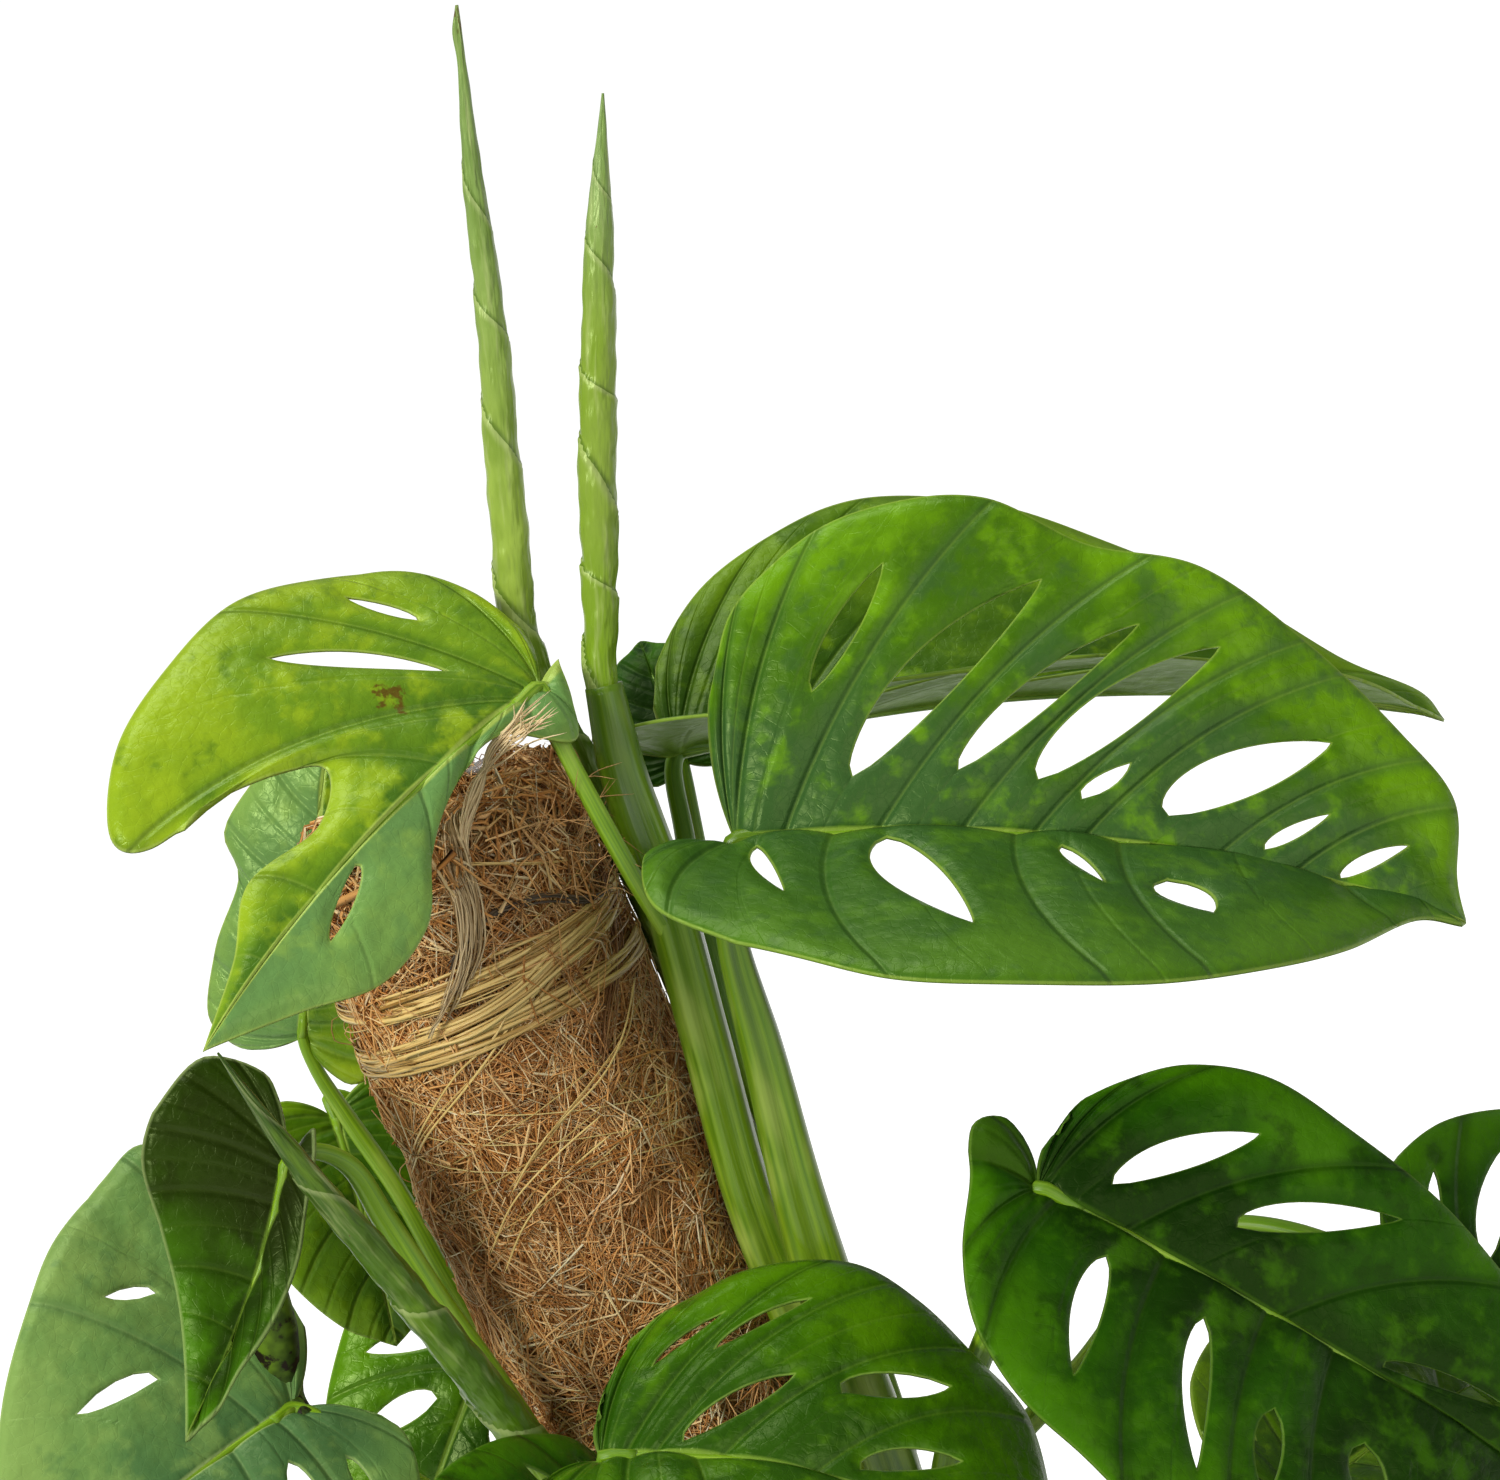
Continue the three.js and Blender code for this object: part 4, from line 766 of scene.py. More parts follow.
HAIR = 0.13
HAIRS_ALL_ROUND = 190
HAIRS_IN_FRONT = 60
RIM_LOOPS = 34
RIM_HAIRS = 110
LOW_HAIRS = 16
stray_finish = strand_finish("stray_fibre", "#8f5f2c", "#e0ac6c", 0.6)
strands = []
for stray in range(HAIRS_ALL_ROUND + HAIRS_IN_FRONT):
    all_round = stray < HAIRS_ALL_ROUND
    turn = rng.uniform(0, 2 * math.pi) if all_round else rng.uniform(-0.9, 0.5)
    height = rng.uniform(170, 462) if all_round else rng.uniform(436, 466)
    out, side_step, climb = rng.uniform(2, 6), rng.uniform(-16, 16), rng.uniform(-12, 12)
    rows = []
    for share, away in ((0, -1.5), (0.25, out * 0.7), (0.5, out), (0.78, out * 0.6), (1, -1)):
        angle = turn + side_step * share / COIR_RADIUS
        reach = COIR_RADIUS + away
        rows.append((reach * math.cos(angle) + rng.uniform(-1, 1),
                     reach * math.sin(angle) + rng.uniform(-1, 1),
                     height + climb * share + rng.uniform(-2, 2)))
    strands.append((even_path(rows, 2.0)[0], (0, 0, 1), HAIR, HAIR, rng.random(), 3))
for loop in range(RIM_LOOPS):
    turn, height = math.radians(rng.uniform(-62, -18)), rng.uniform(438, 463)
    foot = np.array((29 * math.cos(turn), 29 * math.sin(turn), height))
    reach = rng.uniform(6, 17)
    rows = [foot, foot + (reach * 0.3, -3.4, rng.uniform(0, 5)),
            foot + (reach * 0.65, -5, rng.uniform(2, 9)),
            foot + (reach, -5.5 - rng.uniform(0, 2), rng.uniform(-3, 12))]
    strands.append((even_path(rows, 1.6)[0], (0, 0, 1), 0.12, 0.12, rng.uniform(0.5, 1.1), 3))
for hair in range(RIM_HAIRS):
    turn, along, high = rng.uniform(0, 2 * math.pi), rng.uniform(-1.3, 1.3), rng.uniform(0, 4)
    rows = []
    for share, reach, height in ((0, 30, 455), (0.3, 29.6, 463), (0.6, 25, 467.5), (1, 19.5, 466)):
        angle = turn + along * share
        rows.append((reach * math.cos(angle), reach * math.sin(angle),
                     height + high * share + rng.uniform(-1, 1)))
    strands.append((even_path(rows, 2.2)[0], (0, 0, 1), HAIR, HAIR, rng.uniform(0, 0.9), 3))
for hair in range(LOW_HAIRS):
    path = laid_on([(turn + rng.uniform(-4, 4), height + rng.uniform(-2, 2)) for turn, height in (
        (-20, 448), (-28, 436), (-39, 428), (-53, 420), (-62, 412))], rng.uniform(0.8, 2.2))
    strands.append((path, (0, 0, 1), HAIR, 0.16, rng.uniform(-0.2, 0.5), 3))
bundle("stray_fibres", strands, stray_finish, "coir")

dark_finish = strand_finish("dark_strand", "#3c3226", "#7d6a50", 0.6)
DARK_STRANDS = 5
strands = []
for strand in range(DARK_STRANDS):
    rows = [(turn, height + rng.uniform(-0.8, 0.8)) for turn, height in (
        (-101, 443), (-90, 448), (-79, 450), (-71, 450), (-57, 448), (-38, 443), (-19, 441))]
    strands.append((laid_on(rows, 1.6 + 0.2 * strand), (0, 0, 1), 0.14, rng.uniform(0.2, 0.5),
                    rng.random(), 5))
bundle("dark_strands", strands, dark_finish, "coir")


# Bead of clear glue on the rim, which holds the end of the raffia: a flat clear drop with a wet
# skin, pressed on by hand and lumpy.
glue_finish, add, drive = new_finish("clear_glue", "#f3f0e8", 0.08, 0.6, {
    "Transmission Weight": 0.75, "IOR": 1.45})
place = place_on(add)
drive("Base Color", blend(add, grain(add, place, 300, 2), "#efe9dc", "#ffffff"))
relief(add, drive, grain(add, place, 350, 2), 0.25, 0.001)
bead_points, bead_faces = turned(
    [(0, -1)] + [(math.cos(t), math.sin(t)) for t in np.radians(np.arange(-75, 76, 15))] + [(0, 1)], 24)
bead = mesh_piece("glue_drop", [
    (14 + x * (4 + 0.7 * noise.noise(Vector((x, y, z)) * 1.5)), 18 + y * 3.1, POLE_TOP + 1.6 + z * 1.5)
    for x, y, z in bead_points], bead_faces, [glue_finish])
fixed(bead, "glue", "glue_bead")


# Vines: the plant's stems, fleshy and green, ringed with pale scars where old leaves fell. Brown
# aerial roots grow from the rings and cling to the coir or hang towards the soil.
VINES = {
    "vine_right": ([(32, -21, 60), (32, -21, 200), (32, -21, 318)], [5.5, 6.2, 6.5]),
    "vine_left": ([(-26, -26, 60), (-26, -26, 190), (-26, -26, 332)], [5, 5.4, 5.2]),
    "vine_back_left": ([(-29, 24, 60), (-29, 24, 200), (-29, 24, 345)], [5, 5, 4.6]),
    "vine_back_right": ([(27, 27, 60), (27, 27, 200), (27, 27, 330)], [5, 5, 4.6]),
}


def stalk(points, radii, step, sides, front, section=None):
    """A fleshy stalk: a round or grooved section swept along its curve. Gives points, faces, grain"""
    path, travelled = even_path(points, step)
    across, beside = carried_frames(path, front)
    shares = travelled / travelled[-1]
    radius = np.interp(shares * (len(radii) - 1), np.arange(len(radii)), radii)[:, None]
    angles = np.arange(sides) * (2 * math.pi / sides)
    if section is not None:
        turned_in = (angles + math.pi) % (2 * math.pi) - math.pi
        radius = radius * section(turned_in[None], shares[:, None], travelled[:, None])
    skin_points, faces = swept(path, across, beside, radius, radius, sides)
    coords = np.stack([np.tile(np.cos(angles) * 4, len(path)), np.tile(np.sin(angles) * 4, len(path)),
                       np.repeat(travelled, sides)], -1)
    coords = np.vstack([coords, [[0, 0, 0], [0, 0, travelled[-1]]]])
    return skin_points, faces, coords, np.concatenate([np.repeat(shares, sides), [0, 1]])


def stem_piece(name, slot, node, finish, *form):
    """A stalk as a piece of its own, which stands for one solid"""
    points, faces, coords, shares = stalk(*form)
    piece = mesh_piece(name, points, faces, [finish], {"share": shares}, {"grain": coords})
    fixed(piece, slot, node)


def stem_finish(name, dark, light, pale, roughness=0.4):
    """Fleshy green stalk: fine lengthwise streaks, pale flecks and a soft skin sheen"""
    finish, add, drive = new_finish(name, light, roughness, 0.35)
    coords = stored(add, "grain", "Vector")
    streaks = grain(add, stretched(add, coords, (1.1, 1.1, 0.02)), 1.0, 3)
    blotches = grain(add, stretched(add, coords, (0.25, 0.25, 0.05)), 1.0, 2)
    travelled = add("ShaderNodeSeparateXYZ", {0: coords}).outputs[2]
    base = blend(add, fade(add, streaks, 0.2, 0.85), dark, light)
    base = blend(add, fade(add, blotches, 0.45, 0.75, 0, 0.6), base, pale)
    drive("Base Color", blend(add, fade(add, travelled, 50, 170, 0, 0.65), base, dark))
    drive("Roughness", fade(add, blotches, 0.3, 0.7, roughness - 0.08, roughness + 0.1))
    relief(add, drive, streaks, 0.35, 0.0004)
    return finish


def vine_section(node_gap, seed):
    """Rings that swell at every node of the vine"""
    def section(turn, share, travelled):
        phase = (travelled / node_gap + seed) % 1
        ring = np.exp(-((phase - 0.5) * node_gap / 1.6) ** 2)
        return 1 + 0.16 * ring - 0.04 * np.cos(phase * 2 * math.pi) + 0 * turn
    return section


VINE_NODES = 34
LOWEST_NODE = 180
ROOTED_NODES = 5
ROOT_FOOT = 156
ROOT_RADIUS = 0.85
vine_finish = stem_finish("vine_skin", "#51752a", "#7da046", "#a9b673", 0.5)
root_finish = strand_finish("aerial_root", "#4a3320", "#94704a", 0.75)
for number, (node, (points, radii)) in enumerate(VINES.items()):
    stem_piece(node + "_stem", "vine", node, vine_finish, points, radii, 1.4, 28, (0, -1, 0),
               vine_section(VINE_NODES, number * 0.27))

strands = []
for number, (points, radii) in enumerate(VINES.values()):
    x, y = points[0][:2]
    outward = math.atan2(y, x)
    for node_at in range(ROOTED_NODES):
        height = LOWEST_NODE + node_at * VINE_NODES + number * 9
        if height > points[-1][2] - 8:
            continue
        for side in (-1, 1):
            swing = outward + side * rng.uniform(0.25, 0.5)
            drop = rng.uniform(20, 70)
            rows = [(x + 4.5 * math.cos(swing + side), y + 4.5 * math.sin(swing + side), height)]
            for share in (0.15, 0.4, 0.7, 1):
                angle = outward + side * (0.32 + 0.5 * share * rng.uniform(0.6, 1.1))
                reach = COIR_RADIUS + 1.6 + rng.uniform(0, 0.8)
                rows.append((reach * math.cos(angle), reach * math.sin(angle),
                             max(ROOT_FOOT, height - drop * share + rng.uniform(-2, 2))))
            strands.append((even_path(rows, 2.2)[0], (0, 0, 1), ROOT_RADIUS, ROOT_RADIUS, rng.random(), 7))
bundle("aerial_roots", strands, root_finish, "vine")


# Leaves: thin leathery blades with real holes between their side veins, each on a long grooved
# stalk that clasps its vine. Each half blade is measured flat, as the solids' source gives it.
BLADE = 0.62
BLADE_FOOT = "blade"
PETIOLE, SHEATH, WITHERED = 1, 2, 3
PLAIN_MARGIN = [
    (0, -0.10, 0.10), (0, -0.13, 0.22), (0, -0.04, 0.36), (0.03, 0.12, 0.44), (0.10, 0.30, 0.45),
    (0.22, 0.50, 0.41), (0.40, 0.70, 0.31), (0.62, 0.86, 0.19), (0.84, 0.95, 0.07),
]
PLAIN_HOLES = [
    (0.31, 0.40, 0.33, 0.76, 0.024), (0.45, 0.22, 0.47, 0.78, 0.032), (0.60, 0.20, 0.62, 0.72, 0.030),
]


def measured(fold, curl, bow, margin, holes=()):
    """A half measured on its own leaf: margin rows of midrib station, along, across, and its holes"""
    return {"fold": fold, "curl": curl, "bow": bow, "margin": margin, "holes": holes}


def plain(width, fold, curl=-14, holes=PLAIN_HOLES):
    """A half of ordinary outline, scaled to the length of its leaf"""
    return {"fold": fold, "curl": curl, "bow": 0.08, "width": width, "holes": holes}


def side_veins(holes, widest):
    """Side veins that bound the strips of a half: one between two holes, more where they lie far apart"""
    spans = [(min(h[0], h[2]) - h[4], max(h[0], h[2]) + h[4]) for h in holes]
    veins = []
    start = 0.0
    for low, high in [*spans, (1.0, 1.0)]:
        room = low - start
        at_stalk, at_tip = start == 0, low == 1
        cuts = max(1, math.ceil(room / widest) if at_stalk or at_tip else math.floor(room / widest + 0.5))
        inset = int(at_tip) - int(at_stalk)
        veins += [start + room * (piece + 0.5 + inset / 2) / cuts for piece in range(cuts)]
        start = high
    return veins if spans else [*veins, 1.0]


def flat_place(half, length, vein, reach):
    """Flat points of a half blade, and the midrib stations that their side veins start from"""
    rows = spline(half["rows"], vein, False)
    station = np.clip(rows[:, 0], 0, 1)
    root = station * length
    bow = 4 * reach * (1 - reach) * half["bow"]
    along = root + (rows[:, 1] - root) * reach - rows[:, 2] * bow
    across = rows[:, 2] * reach + (rows[:, 1] - root) * bow
    return along, across, station


def bent(leaf, along, across, side):
    """Flat points bent into place: arched midrib, folded and curled halves"""
    station = np.clip(along / leaf["length"], 0, 1)
    arch = 4 * station * (1 - station)
    fold = np.where(side > 0, leaf["left"]["fold"], leaf["right"]["fold"]) * math.pi / 180
    curl = np.where(side > 0, leaf["left"]["curl"], leaf["right"]["curl"]) * math.pi / 180 / leaf["length"]
    out = (np.sin(fold + curl * across) - np.sin(fold)) / curl
    lift = (np.cos(fold) - np.cos(fold + curl * across)) / curl
    return (leaf["joint"] + np.outer(along, leaf["ahead"])
            + np.outer(arch * leaf["arch"] + lift, leaf["up"])
            + np.outer(arch * leaf["sweep"] + side * out, leaf["aside"]))


def hole_rim(hole, side, reaches):
    """The edge of a strip that runs along a side vein and then round one side of a hole"""
    start_vein, start, end_vein, end, half = hole
    rows = len(reaches) - 1
    first = int(np.clip(np.searchsorted(reaches, start), 1, rows - 4))
    last = int(np.clip(np.searchsorted(reaches, end), first + 3, rows - 1))
    line = []
    for row, reach in enumerate(reaches):
        if row <= first:
            line.append((start_vein, reach * start / reaches[first]))
        elif row >= last:
            line.append((end_vein, end + (reach - reaches[last]) * (1 - end) / (1 - reaches[last])))
        else:
            share = (row - first) / (last - first)
            opening = side * half * math.sin(math.pi * share ** 0.75) ** 0.8
            line.append((start_vein + (end_vein - start_vein) * share + opening,
                         start + (end - start) * share))
    return np.array(line)


def blade(leaf, rows, step, quilt, wave, seed):
    """Both faces of a blade as points, faces and layers for its skin"""
    reaches = np.linspace(0, 1, rows + 1) ** 1.2
    ids, record, cells = {}, [], []
    length = leaf["length"]
    for side, half in ((1, leaf["left"]), (-1, leaf["right"])):
        for low, high in zip(half["veins"], half["veins"][1:]):
            hole = next((h for h in half["holes"] if low < h[0] < high), None)
            first = np.stack([np.full(rows + 1, low), reaches], -1)
            last = np.stack([np.full(rows + 1, high), reaches], -1)
            pairs = [(first, last)] if hole is None else [
                (first, hole_rim(hole, -1, reaches)), (hole_rim(hole, 1, reaches), last)]
            for near, far in pairs:
                ends = [np.stack(flat_place(half, length, *line.T)[:2], -1) for line in (near, far)]
                span = np.linalg.norm(ends[0] - ends[1], axis=1).max()
                count = 2 * max(1, math.ceil(span / step / 2))
                columns = []
                for column in range(count + 1):
                    line = near + (far - near) * (column / count)
                    along, across, station = flat_place(half, length, *line.T)
                    column_ids = []
                    for row in range(rows + 1):
                        if row == 0 or line[row, 0] >= 1 - 1e-9:
                            key = ("rib", round(float(station[row]), 5))
                            entry = (0, station[row] * length, 0.0, line[row, 0], 0.0)
                        else:
                            key = (side, round(float(line[row, 0]), 7), round(float(line[row, 1]), 7))
                            entry = (side, along[row], across[row], line[row, 0], line[row, 1])
                        if key not in ids:
                            ids[key] = len(record)
                            record.append(entry)
                        column_ids.append(ids[key])
                    columns.append((column_ids, round(float(station[0]), 5)))
                cells.append((side, columns))
    stations = sorted(key[1] for key in ids if key[0] == "rib")
    faces = []

    def face(side, *corners):
        if len(set(corners)) == len(corners):
            faces.append(corners if side > 0 else corners[::-1])

    for side, columns in cells:
        for (near, near_root), (far, far_root) in zip(columns, columns[1:]):
            between = stations[bisect.bisect_right(stations, near_root):
                               bisect.bisect_left(stations, far_root)]
            midrib = [near[0], *(ids[("rib", station)] for station in between), far[0]]
            for one, two in zip(midrib, midrib[1:]):
                face(side, one, two, near[1])
            face(side, far[0], far[1], near[1])
            for row in range(1, rows):
                corners = [near[row], far[row], far[row + 1], near[row + 1]]
                unique = list(dict.fromkeys(corners))
                if len(unique) > 2:
                    face(side, *unique)
    side, along, across, vein, reach = (np.array(column, float) for column in zip(*record))
    middle = bent(leaf, along, across, np.where(side == 0, 1, side))
    gap, bulge, minor = np.zeros(len(side)), np.zeros(len(side)), np.full(len(side), 9.0)
    for number, half in ((1, leaf["left"]), (-1, leaf["right"])):
        mine = np.where(side == number)[0]
        veins = np.array(half["veins"])
        slot = np.clip(np.searchsorted(veins, vein[mine]) - 1, 0, len(veins) - 2)
        here = np.stack([along[mine], across[mine]], -1)

        def away(lines):
            line_along, line_across, _ = flat_place(half, length, lines, reach[mine])
            return np.linalg.norm(here - np.stack([line_along, line_across], -1), axis=1)

        one, two = away(veins[slot]), away(veins[slot + 1])
        total = np.maximum(one + two, 1e-6)
        gap[mine] = np.minimum(one, two)
        minor[mine] = away((veins[slot] + veins[slot + 1]) / 2)
        bulge[mine] = 4 * one * two / total ** 2 * np.minimum(1, total / 12)
    normals = np.zeros_like(middle)
    for corners in faces:
        a, b, c = middle[corners[0]], middle[corners[1]], middle[corners[2]]
        normals[list(corners)] += np.cross(b - a, c - a)
    normals /= np.linalg.norm(normals, axis=1)[:, None]
    directed = {(a, b) for corners in faces for a, b in zip(corners, corners[1:] + corners[:1])}
    under = len(middle)
    rim = {}
    walls = []
    for a, b in directed:
        if (b, a) not in directed:
            walls.append((b, a, a + under, b + under))
            rim[a] = rim[b] = True
    tree = kdtree.KDTree(len(rim))
    for corner in rim:
        tree.insert(middle[corner], corner)
    tree.balance()
    rim_gap = np.array([tree.find(point)[2] for point in middle])
    rng = random.Random(seed)
    ripple = sum(
        math.pow(0.7, k) * np.sin(2 * math.pi * ((2 + k * 1.7) * vein + rng.random())) for k in range(3))
    height = quilt * bulge * (1 - reach ** 3)
    height += wave * ripple * reach ** 2 * np.sin(math.pi * np.clip(vein, 0, 1))
    height -= quilt * 0.6 * np.exp(-(rim_gap / 1.8) ** 2)
    height -= 0.4 * np.exp(-(across / 2) ** 2) * (1 - along / length)
    top = middle + normals * (BLADE / 2 + height)[:, None]
    bottom = middle + normals * (-BLADE / 2 + height)[:, None]
    faces_out = faces + [tuple(corner + under for corner in reversed(corners)) for corners in faces] + walls
    rib_width = 0.35 + 1.1 * np.clip(1 - along / length, 0, 1)
    layers = {"vein": gap, "minor": minor, "rib": across / rib_width, "rim": rim_gap, "reach": reach,
              "station": along / length}
    both = {name: np.concatenate([values, values]) for name, values in layers.items()}
    both["under"] = np.concatenate([np.zeros(under), np.ones(under)])
    coords = np.stack([along, across * np.where(side == 0, 1, side), side], -1)
    return np.vstack([top, bottom]), faces_out, both, np.vstack([coords, coords])


def leaf_finish(name, deep, fresh, bright, rib, rim, gloss=0.36, mottle=0.5, sheen=0.34, torn=None,
                painted_cup_shade=0.0, painted_half_light=(-1, 0.0, "#375c28"), rim_width=0.5):
    """Leaf skin: deep by the midrib, and darker along the side veins, partly the leaf's own tone and partly
    painted shade in the sunken vein grooves; brighter outwards and in soft mottles, with a pale midrib and
    rim, a faint net of veinlets, and a paler, duller underside. A torn leaf has a ragged brown patch; a
    cupped one has painted shade where its base is hollow; one half can carry painted light: painted shade
    on a darker half, painted sheen on a paler, cooler one"""
    finish, add, drive = new_finish(name, fresh, gloss, sheen, {"Specular Tint": paint("#e2ffa0")})
    vein, minor, rim_gap, reach, station, under, from_rib = (
        stored(add, label) for label in ("vein", "minor", "rim", "reach", "station", "under", "rib"))
    coords = stored(add, "grain", "Vector")
    patches = plus(add, times(add, grain(add, coords, 0.07, 3), 0.6),
                   times(add, grain(add, coords, 0.22, 3), 0.4))
    fine = grain(add, coords, 0.5, 4)
    outward = plus(add, reach, fade(add, grain(add, coords, 0.025, 2), 0.3, 0.7, -0.3, 0.3))
    base = blend(add, fade(add, outward, 0.15, 0.62), deep, fresh)
    base = blend(add, fade(add, outward, 0.6, 1.05, 0, 0.85), base, bright)
    # darker along the side veins: partly the leaf's own tone, partly painted shade in the sunken vein
    # grooves
    base = blend(add, fade(add, vein, 0.2, 3.6, 0.5, 0), base, deep)
    mottles = times(add, fade(add, patches, 0.49, 0.64, 0, mottle), fade(add, vein, 0.4, 4.0, 0.35, 1.0))
    base = blend(add, mottles, base, bright)
    base = blend(add, fade(add, patches, 0.36, 0.47, 0.6, 0), base, deep)
    base = blend(add, fade(add, fine, 0.6, 0.8, 0, 0.2), base, bright)
    base = blend(add, fade(add, minor, 0.0, 0.4, 0.14, 0), base, rib)
    base = blend(add, times(add, fade(add, vein, 0.0, 0.5, 1, 0), 0.16), base, rib)
    # painted shade inside a cupped blade: darker from the middle of the blade towards its base
    base = blend(add, fade(add, station, 0.1, 0.62, painted_cup_shade, 0), base, "#1d2405")
    # painted light on one half of the blade: a darker tone there is painted shade, a paler, cooler one
    # painted sheen
    half, share, tone = painted_half_light
    side = add("ShaderNodeSeparateXYZ", {0: coords}).outputs[2]
    base = blend(add, fade(add, side, half, -half, share, 0), base, tone)
    pale_under = blend(add, fade(add, fine, 0.3, 0.7, 0.1, 0.35), bright, "#7d9c52")
    base = blend(add, times(add, under, 0.65), base, pale_under)
    base = blend(add, fade(add, from_rib, 0.45, 1.0, 0.85, 0), base, rib)
    base = blend(add, fade(add, rim_gap, 0.1, rim_width, 0.5, 0), base, rim)
    if torn:
        away = add("ShaderNodeVectorMath", {0: coords, 1: (*torn, -1)},
                   operation="DISTANCE").outputs["Value"]
        ragged = plus(add, away, times(add, grain(add, coords, 0.45, 4), 14.0))
        base = blend(add, fade(add, ragged, 8.4, 10.0, 0.9, 0), base, "#5f4315")
    drive("Base Color", base)
    dull_spots = fade(add, fine, 0.2, 0.8, gloss - 0.06, gloss + 0.1)
    drive("Roughness", plus(add, dull_spots, times(add, under, 0.2)))
    sunk = plus(add, fade(add, vein, 0.0, 1.3, -1.2, 0), fade(add, minor, 0.0, 1.0, -0.5, 0))
    net = add("ShaderNodeTexVoronoi", {"Vector": coords, "Scale": 0.42},
              feature="DISTANCE_TO_EDGE").outputs[0]
    pebbled = plus(add, times(add, fade(add, net, 0.0, 0.07, 1, 0), -0.08), times(add, fine, 0.45))
    puckers = times(add, grain(add, coords, 0.16, 2), 2.4)
    relief(add, drive, plus(add, plus(add, sunk, puckers), pebbled), 0.55, 0.0006)
    return finish


SKINS = {
    # Deep leaf: the grey-green of its deep tone by the midrib is partly painted sheen
    "deep": leaf_finish("deep_leaf", "#375c28", "#3f6a04", "#6da004", "#93b240", "#9cb848", 0.36, 0.7,
                        # the darker right half is painted shade
                        painted_half_light=(-1, 0.6, "#315a1a")),
    "sunlit": leaf_finish("sunlit_leaf", "#355c07", "#4d7405", "#6f960a", "#9dba44", "#a9c450", 0.36, 0.9),
    "pale": leaf_finish("pale_leaf", "#48701a", "#6e931c", "#98b41e", "#abc256", "#b3c85e", 0.27, 0.8,
                        # the paler, cooler left half is painted sheen
                        torn=(24, -17), painted_half_light=(1, 0.6, "#78a460")),
    "dark": leaf_finish("dark_leaf", "#102e03", "#225003", "#467e02", "#34560c", "#6f9232", 0.4, 0.5, 0.16),
    "fresh": leaf_finish("fresh_leaf", "#2b5408", "#3f6f02", "#5c8f06", "#86a83a", "#9dbc50", 0.28, 0.6),
    # Cupped leaf: its very dark greens and its darker base are painted shade inside the cup
    "cupped": leaf_finish("cupped_leaf", "#1c3602", "#2f5602", "#457a04", "#6f8e2c", "#a9bd74", 0.34, 0.6,
                          0.2, painted_cup_shade=0.85, rim_width=0.8),
    # Leaf with painted sheen: grey-blue greens stand in for the broad sheen on its surface
    "painted_sheen": leaf_finish("painted_sheen_leaf", "#4c7440", "#698f48", "#86a654", "#a2ba70", "#a6c070", 0.36, 0.6),
}
petiole_finish = stem_finish("petiole_skin", "#56840e", "#9cc41c", "#a8c24a", 0.36)
sheath_finish = stem_finish("sheath_skin", "#4c720c", "#90b020", "#bccc60", 0.32)
withered_finish, add, drive = new_finish("withered_leaf", "#3f5a14", 0.5, 0.15)
coords = stored(add, "grain", "Vector")
wilted = grain(add, coords, 0.12, 3)
faded = blend(add, fade(add, wilted, 0.4, 0.62), "#2a3c0c", "#62801c")
drive("Base Color", blend(add, fade(add, grain(add, coords, 0.3, 4), 0.52, 0.6), faded, "#1d1408"))
relief(add, drive, wilted, 0.6, 0.001)


def grooved(depth, width, wings):
    """A stalk with a channel down its front and the two thin wings of its sheath beside the channel"""
    def section(turn, share, travelled):
        fading = np.clip((1 - share) * 6, 0, 1)
        channel = depth * np.exp(-(turn / width) ** 2)
        wing = wings * np.exp(-((np.abs(turn) - width * 1.5) / 0.16) ** 2)
        return 1 + fading * (wing - channel)
    return section


def grow_leaf(node, slot, skin, joint, tip, face, left, right, stalks, arch=6, sweep=0, veins_apart=0.16,
              rows=20, step=2.4, quilt=1.0, wave=0.6):
    """A whole leaf as one piece: blade, raised midrib under it, and stalks"""
    joint = np.array(joint, float)
    along = np.array(tip, float) - joint
    length = np.linalg.norm(along)
    along /= length
    facing = np.array(face, float)
    facing -= facing.dot(along) * along
    facing /= np.linalg.norm(facing)
    leaf = {"joint": joint, "length": length, "ahead": along, "up": facing,
            "aside": np.cross(facing, along), "arch": arch, "sweep": sweep}
    for name, half in (("left", left), ("right", right)):
        margin = half.get("margin") or [
            (s, a * length, c * half["width"] * length) for s, a, c in PLAIN_MARGIN]
        leaf[name] = {**half, "rows": [*margin, (1, length, 0)],
                      "veins": side_veins(half["holes"], veins_apart)}
    points, faces, layers, coords = blade(leaf, rows, step, quilt, wave, node)
    blocks = [(points, faces, coords, 0, layers)]
    under = [bent(leaf, np.array([s * length]), np.array([0.0]), np.array([1]))[0] - facing * (BLADE * 0.5)
             for s in (0, 0.07, 0.2, 0.35, 0.5, 0.65, 0.8, 0.95)]
    rib_radii = [stalks[0]["radii"][-1] * 0.95, 0.95, 0.8, 0.7, 0.55, 0.4, 0.2]
    blocks.append((*stalk(under[:1] + under[2:], rib_radii, 2.5, 10, -facing)[:3], PETIOLE, None))
    for one in stalks:
        path = one["points"]
        if path[-1] == BLADE_FOOT:
            path = [*path[:-1], under[0] - facing * 0.3, under[1] - facing * 0.2]
        form = stalk(path, one["radii"], 1.6, one.get("sides", 16), one.get("front", (0.2, -1, 0.1)),
                     one.get("section", grooved(0.16, 0.45, 0.03)))
        blocks.append((*form[:3], one.get("finish", PETIOLE), None))
    all_faces, finish_of = [], []
    values = {label: [] for label in layers}
    shift = 0
    for block_points, block_faces, _, finish, block_layers in blocks:
        all_faces += [tuple(corner + shift for corner in corners) for corners in block_faces]
        finish_of += [finish] * len(block_faces)
        for label in values:
            values[label].append(block_layers[label] if block_layers else np.zeros(len(block_points)))
        shift += len(block_points)
    finishes = [SKINS[skin], petiole_finish, sheath_finish, withered_finish]
    piece = mesh_piece(node + "_grown", np.vstack([block[0] for block in blocks]), all_faces, finishes,
                       {label: np.concatenate(parts) for label, parts in values.items()},
                       {"grain": np.vstack([block[2] for block in blocks])}, finish_of)
    fixed(piece, slot, node)


